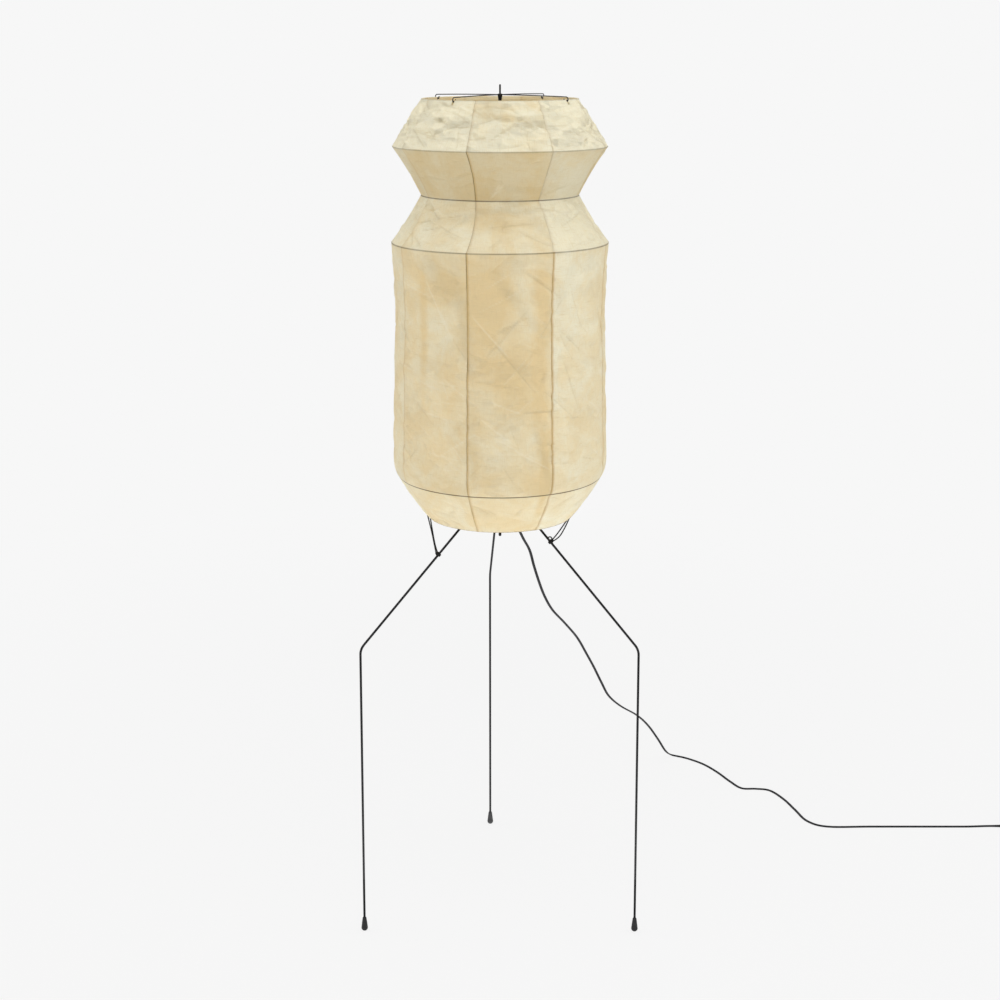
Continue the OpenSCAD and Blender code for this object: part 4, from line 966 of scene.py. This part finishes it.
class LANTERN_OT_lampholder(Operator):
    """Finish the lampholder, its nipple, contacts and switch knob"""
    bl_idname = "lantern.lampholder"
    bl_label = "Lampholder"

    def execute(self, context):
        look = settings("metal")
        # Brass: warm and satin where it is turned, with rolled ridges where it is threaded
        for names, name, roughness, thread in (
                ("nipple_nut centre_contact plug_pins", "turned_brass_satin", 0.32, None),
                ("screw_shell", "rolled_brass_screw_shell", 0.34, BULB_THREAD),
                ("holder_nipple", "threaded_brass_nipple", 0.36, NIPPLE_THREAD)):
            finish_nodes(names, name, look.brass, roughness, metallic=1.0, grain_mm=0.8, thread_mm=thread)
        # Phenolic: a deep black with a moulded gloss outside, brown-black and matte inside
        finish_nodes("holder_cap holder_shell", "phenolic_moulding_gloss", linear("#171717"), 0.28,
                     grain_mm=1.5, coat=0.3)
        finish_nodes("holder_core switch_knob", "phenolic_moulding_matte", linear("#26211E"), 0.55,
                     mottle=0.12, grain_mm=0.8)
        # Vulcanised fibre: a dry, flecked tan
        finish_nodes("holder_liner", "vulcanised_fibre_pressed", linear("#8A6A3C"), 0.75,
                     mottle=0.2, grain_mm=1.0)
        return {"FINISHED"}


class LANTERN_OT_bulb(Operator):
    """Finish the bulb's frosted glass and its rolled aluminium cap"""
    bl_idname = "lantern.bulb"
    bl_label = "Bulb"

    def execute(self, context):
        dress_nodes(frosted_glass(), "bulb_glass")
        # Rolled aluminium: pale and half bright, with the thread's soft ridges
        finish_nodes("bulb_cap", "aluminium_cap_rolled", linear("#C9CACC"), 0.36, metallic=1.0,
                     mottle=0.06, grain_mm=0.8, thread_mm=BULB_THREAD)
        return {"FINISHED"}


# ---- Ties ----


# In millimetres, as the CAD model has them
LEG_APEX = 784.0          # height at which the legs' upper rods aim, over the mast's axis
KNEE_Z, KNEE_R = 526.0, 276.0    # where the upper rod's line comes down to the knee
LEG_FALL = (LEG_APEX - KNEE_Z) / KNEE_R
LEG_ROD = 4.0
KNOT_R = {"left": 123.0, "right": 102.0, "rear": 123.0}
TIE_GAP = 0.1             # between a tie and what it is wound on
TIE_SLACK = {"left": 1.0, "right": 5.0, "rear": 1.0}
WRAP_STEPS, WRAP_TURN = 15, 60        # points wound round the rod, and degrees between them
WRAP_ADVANCE, WRAP_START = 0.38, -2.6    # how far each goes along the rod, and from where
# The knot's tangle: out from the rod, up from it and along it
TANGLE = ((0.4, 2.4, 1.0), (2.6, 0.6, -0.6), (1.6, -2.4, 1.6), (-0.6, -1.2, -1.0), (0.6, 1.8, -2.2),
          (2.8, 1.0, 0.8), (1.4, -1.6, -1.8), (0.0, 0.6, 1.8))
RIGHT_LOOP = ((3.6, -5.5), (-0.6, -9.0), (-4.4, -5.5), (-1.4, 0.0))    # up from the rod, along it


def tie_line(leg, half):
    """A tie's path in millimetres from the mast's foot: up from its knot on the leg, over the
    bottom hoop, back down, twice round the rod and into the knot's end."""
    leg_way, out = (vec(cos(a), sin(a), 0.0) for a in (LEG_AZ[leg], TIE_AZ[leg]))
    high = vec(0.0, 0.0, 1.0)
    side = 1.0 if sin(TIE_AZ[leg] - LEG_AZ[leg]) > 0 else -1.0
    level = side * vec(-leg_way[1], leg_way[0], 0.0)
    rod = unit(leg_way - high * LEG_FALL)
    up = side * np.cross(rod, level)
    centre = leg_way * KNOT_R[leg] + high * (LEG_APEX - KNOT_R[leg] * LEG_FALL)
    hoop = (out * HOOPS[5][0] + high * HOOPS[5][1]) / MM
    grip = HOOP_WIRE / 2 / MM + half + TIE_GAP
    wrap = LEG_ROD / 2 + half + TIE_GAP
    knot = centre + level * (wrap + half + 0.9)
    slack = TIE_SLACK[leg]
    line = [knot - rod * 1.5, knot + (hoop - knot) * 0.3 + level * 0.4, hoop - out * grip - high * 3.0]
    line += [hoop + grip * (high * sin(a) - out * cos(a)) for a in np.radians((0, 50, 90, 130, 180))]
    line += [hoop + (knot - hoop) * 0.45 + out * slack + level * slack * 0.6,
             hoop + (knot - hoop) * 0.82 + out * slack + level * slack * 1.2, knot + level * 1.2 + rod * 0.8]
    for step in range(WRAP_STEPS):
        a = radians(WRAP_TURN * step)
        line.append(centre + wrap * (level * cos(a) + up * sin(a))
                    + rod * (step * WRAP_ADVANCE + WRAP_START))
    line += [knot + level * across + up * above + rod * down for across, above, down in TANGLE]
    if leg == "right":
        line += [knot + up * above + rod * down for above, down in RIGHT_LOOP]
    return line + [knot + level * 1.4 - high * 3.6, knot + leg_way * 2.4 - high * 9.5]


class LANTERN_OT_ties(Operator):
    """Tie the bottom hoop to the legs with three waxed cords, each knotted on its rod"""
    bl_idname = "lantern.ties"
    bl_label = "Ties"

    def execute(self, context):
        look = settings("cord")
        # Waxed cotton: soft black, with the wax's dull bloom over a coarse twist
        waxed = solid_finish("waxed_cotton_cord_twisted", look.tie, 0.7, mottle=0.2,
                             grain_mm=0.5, grain_depth=0.1, shine=0.15)
        for leg in KNOT_R:
            path = spline_through(tie_line(leg, look.tie_width / MM / 2), 5)
            points, faces = round_tube([np.array(MAST) + p * MM for p in path], look.tie_width / 2)
            tie = mesh_piece(f"tie_{leg}_cord", points, faces, waxed)
            place(tie, "lamp", "tie_cord", f"tie_{leg}")
        return {"FINISHED"}


# ---- Stage ----

CAMERA_BACK = 2.8401      # metres in front of the mast
CAMERA_HEIGHT = 1.5137
CAMERA_TILT = 15.082      # degrees below the horizon
CAMERA_LENS = 60.97       # millimetres, on a sensor 36 mm wide
FLOOR_HALF = 40
SHADOW_REACH = (0.6, 2.6)    # metres round the lamp in which the floor keeps a share of its shadow
# Soft round lights: place, what they aim at, diameter, and the setting of their power
LIGHTS = {"top_light": ((0.1, -0.5, 3.3), (0, 0, 1.2), 1.5, "top_watts"),
          "front_light": ((0.2, -2.7, 2.2), (0, 0, 1.0), 1.4, "front_watts"),
          "low_light": ((0.0, -0.2, 0.1), (0, 0, 0.95), 0.9, "low_watts"),
          "left_light": ((-3.0, 0.6, 1.3), (0, 0, 0.95), 1.8, "side_watts"),
          "right_light": ((3.0, 0.2, 1.4), (0, 0, 0.95), 1.8, "side_watts")}


def seen_ray(n):
    """1 for what the eye sees, straight on, mirrored or through glass, and 0 for what only lights."""
    path, seen = n.add("LightPath"), 0.0
    for kind in ("Is Camera Ray", "Is Glossy Ray", "Is Transmission Ray"):
        seen = n.maths("MAXIMUM", seen, path.outputs[kind])
    return seen


def seamless_paper(look):
    """White seamless paper: it stays at its own white for the eye and keeps a soft shadow."""
    material, n = new_material("seamless_paper_floor")
    seen = seen_ray(n)
    away = n.vectors("LENGTH", n.place()).outputs["Value"]
    share = n.maths("MULTIPLY", seen, n.spread(away, *SHADOW_REACH, 0.9, 1.0, "SMOOTHSTEP"))
    shaded = n.mixed(seen, rgba(look.floor), rgba([c * 0.87 for c in look.floor]))
    lit = n.add("BsdfDiffuse", {"Color": shaded})
    white = n.add("Emission", {"Color": rgba(look.floor), "Strength": 1.0})
    n.add("OutputMaterial", {"Surface": n.add("MixShader", {0: share, 1: lit, 2: white})})
    return material


def studio_sky(look):
    """An even light all round that the eye sees as the floor's own white."""
    world = bpy.data.worlds.new("studio_sky")
    n = Nodes(world)
    lights = n.add("Background", {"Color": (1, 1, 1, 1), "Strength": look.sky})
    shown = n.add("Background", {"Color": rgba(look.floor), "Strength": 1.0})
    n.add("OutputWorld", {"Surface": n.add("MixShader", {0: seen_ray(n), 1: lights, 2: shown})})
    return world


class LANTERN_OT_stage(Operator):
    """Set up the pale floor, the soft lights and the camera"""
    bl_idname = "lantern.stage"
    bl_label = "Stage"

    def execute(self, context):
        look = settings("stage")
        scene = context.scene
        scene.view_settings.view_transform = "Standard"
        shut_selection()
        bpy.ops.object.camera_add(location=(MAST.x, MAST.y - CAMERA_BACK, CAMERA_HEIGHT),
                                  rotation=(radians(90 - CAMERA_TILT), 0, 0))
        scene.camera = context.object
        scene.camera.data.lens = CAMERA_LENS
        scene.camera.data.sensor_width = 36
        scene.camera.data.clip_end = 200

        bpy.ops.mesh.primitive_plane_add(size=2 * FLOOR_HALF, location=(0, 0, 0))
        floor = context.object
        floor.name = "floor"
        floor.data.materials.append(seamless_paper(look))
        scene.world = studio_sky(look)
        for name, (spot, target, size, watts) in LIGHTS.items():
            shut_selection()
            bpy.ops.object.light_add(type="AREA", location=spot)
            lamp = context.object
            lamp.name = name
            lamp.data.energy = getattr(look, watts)
            lamp.data.shape = "DISK"
            lamp.data.size = size
            lamp.visible_camera = False
            lamp.rotation_euler = (Vector(target) - Vector(spot)).to_track_quat("-Z", "Y").to_euler()
        return {"FINISHED"}


class LANTERN_PT_panel(Panel):
    """The lamp's pieces, in the order in which they are built"""
    bl_idname = "LANTERN_PT_panel"
    bl_label = "Paper lantern lamp"
    bl_space_type = "VIEW_3D"
    bl_region_type = "UI"
    bl_category = "Lantern"

    def draw(self, context):
        for operator in OPERATORS:
            self.layout.operator(operator.bl_idname)
        for name in GROUPS:
            box = self.layout.box()
            group = settings(name)
            for key in group.__annotations__:
                box.prop(group, key)


GROUPS = {"paper": LanternPaper, "metal": LanternMetal, "cord": LanternCord, "stage": LanternStage}
OPERATORS = (LANTERN_OT_stage, LANTERN_OT_cord, LANTERN_OT_stand, LANTERN_OT_wires,
             LANTERN_OT_paper, LANTERN_OT_ties, LANTERN_OT_lampholder, LANTERN_OT_bulb)


def register():
    for group in GROUPS.values():
        bpy.utils.register_class(group)
    for operator in (*OPERATORS, LANTERN_PT_panel):
        bpy.utils.register_class(operator)
    for name, group in GROUPS.items():
        setattr(bpy.types.Scene, "lantern_" + name, PointerProperty(type=group))


def unregister():
    for name in GROUPS:
        delattr(bpy.types.Scene, "lantern_" + name)
    for operator in (LANTERN_PT_panel, *reversed(OPERATORS)):
        bpy.utils.unregister_class(operator)
    for group in GROUPS.values():
        bpy.utils.unregister_class(group)


def main():
    register()
    bpy.ops.lantern.stage()
    bpy.ops.lantern.cord()
    bpy.ops.lantern.stand()
    bpy.ops.lantern.wires()
    bpy.ops.lantern.paper()
    bpy.ops.lantern.ties()
    bpy.ops.lantern.lampholder()
    bpy.ops.lantern.bulb()


if __name__ == "__main__":
    main()
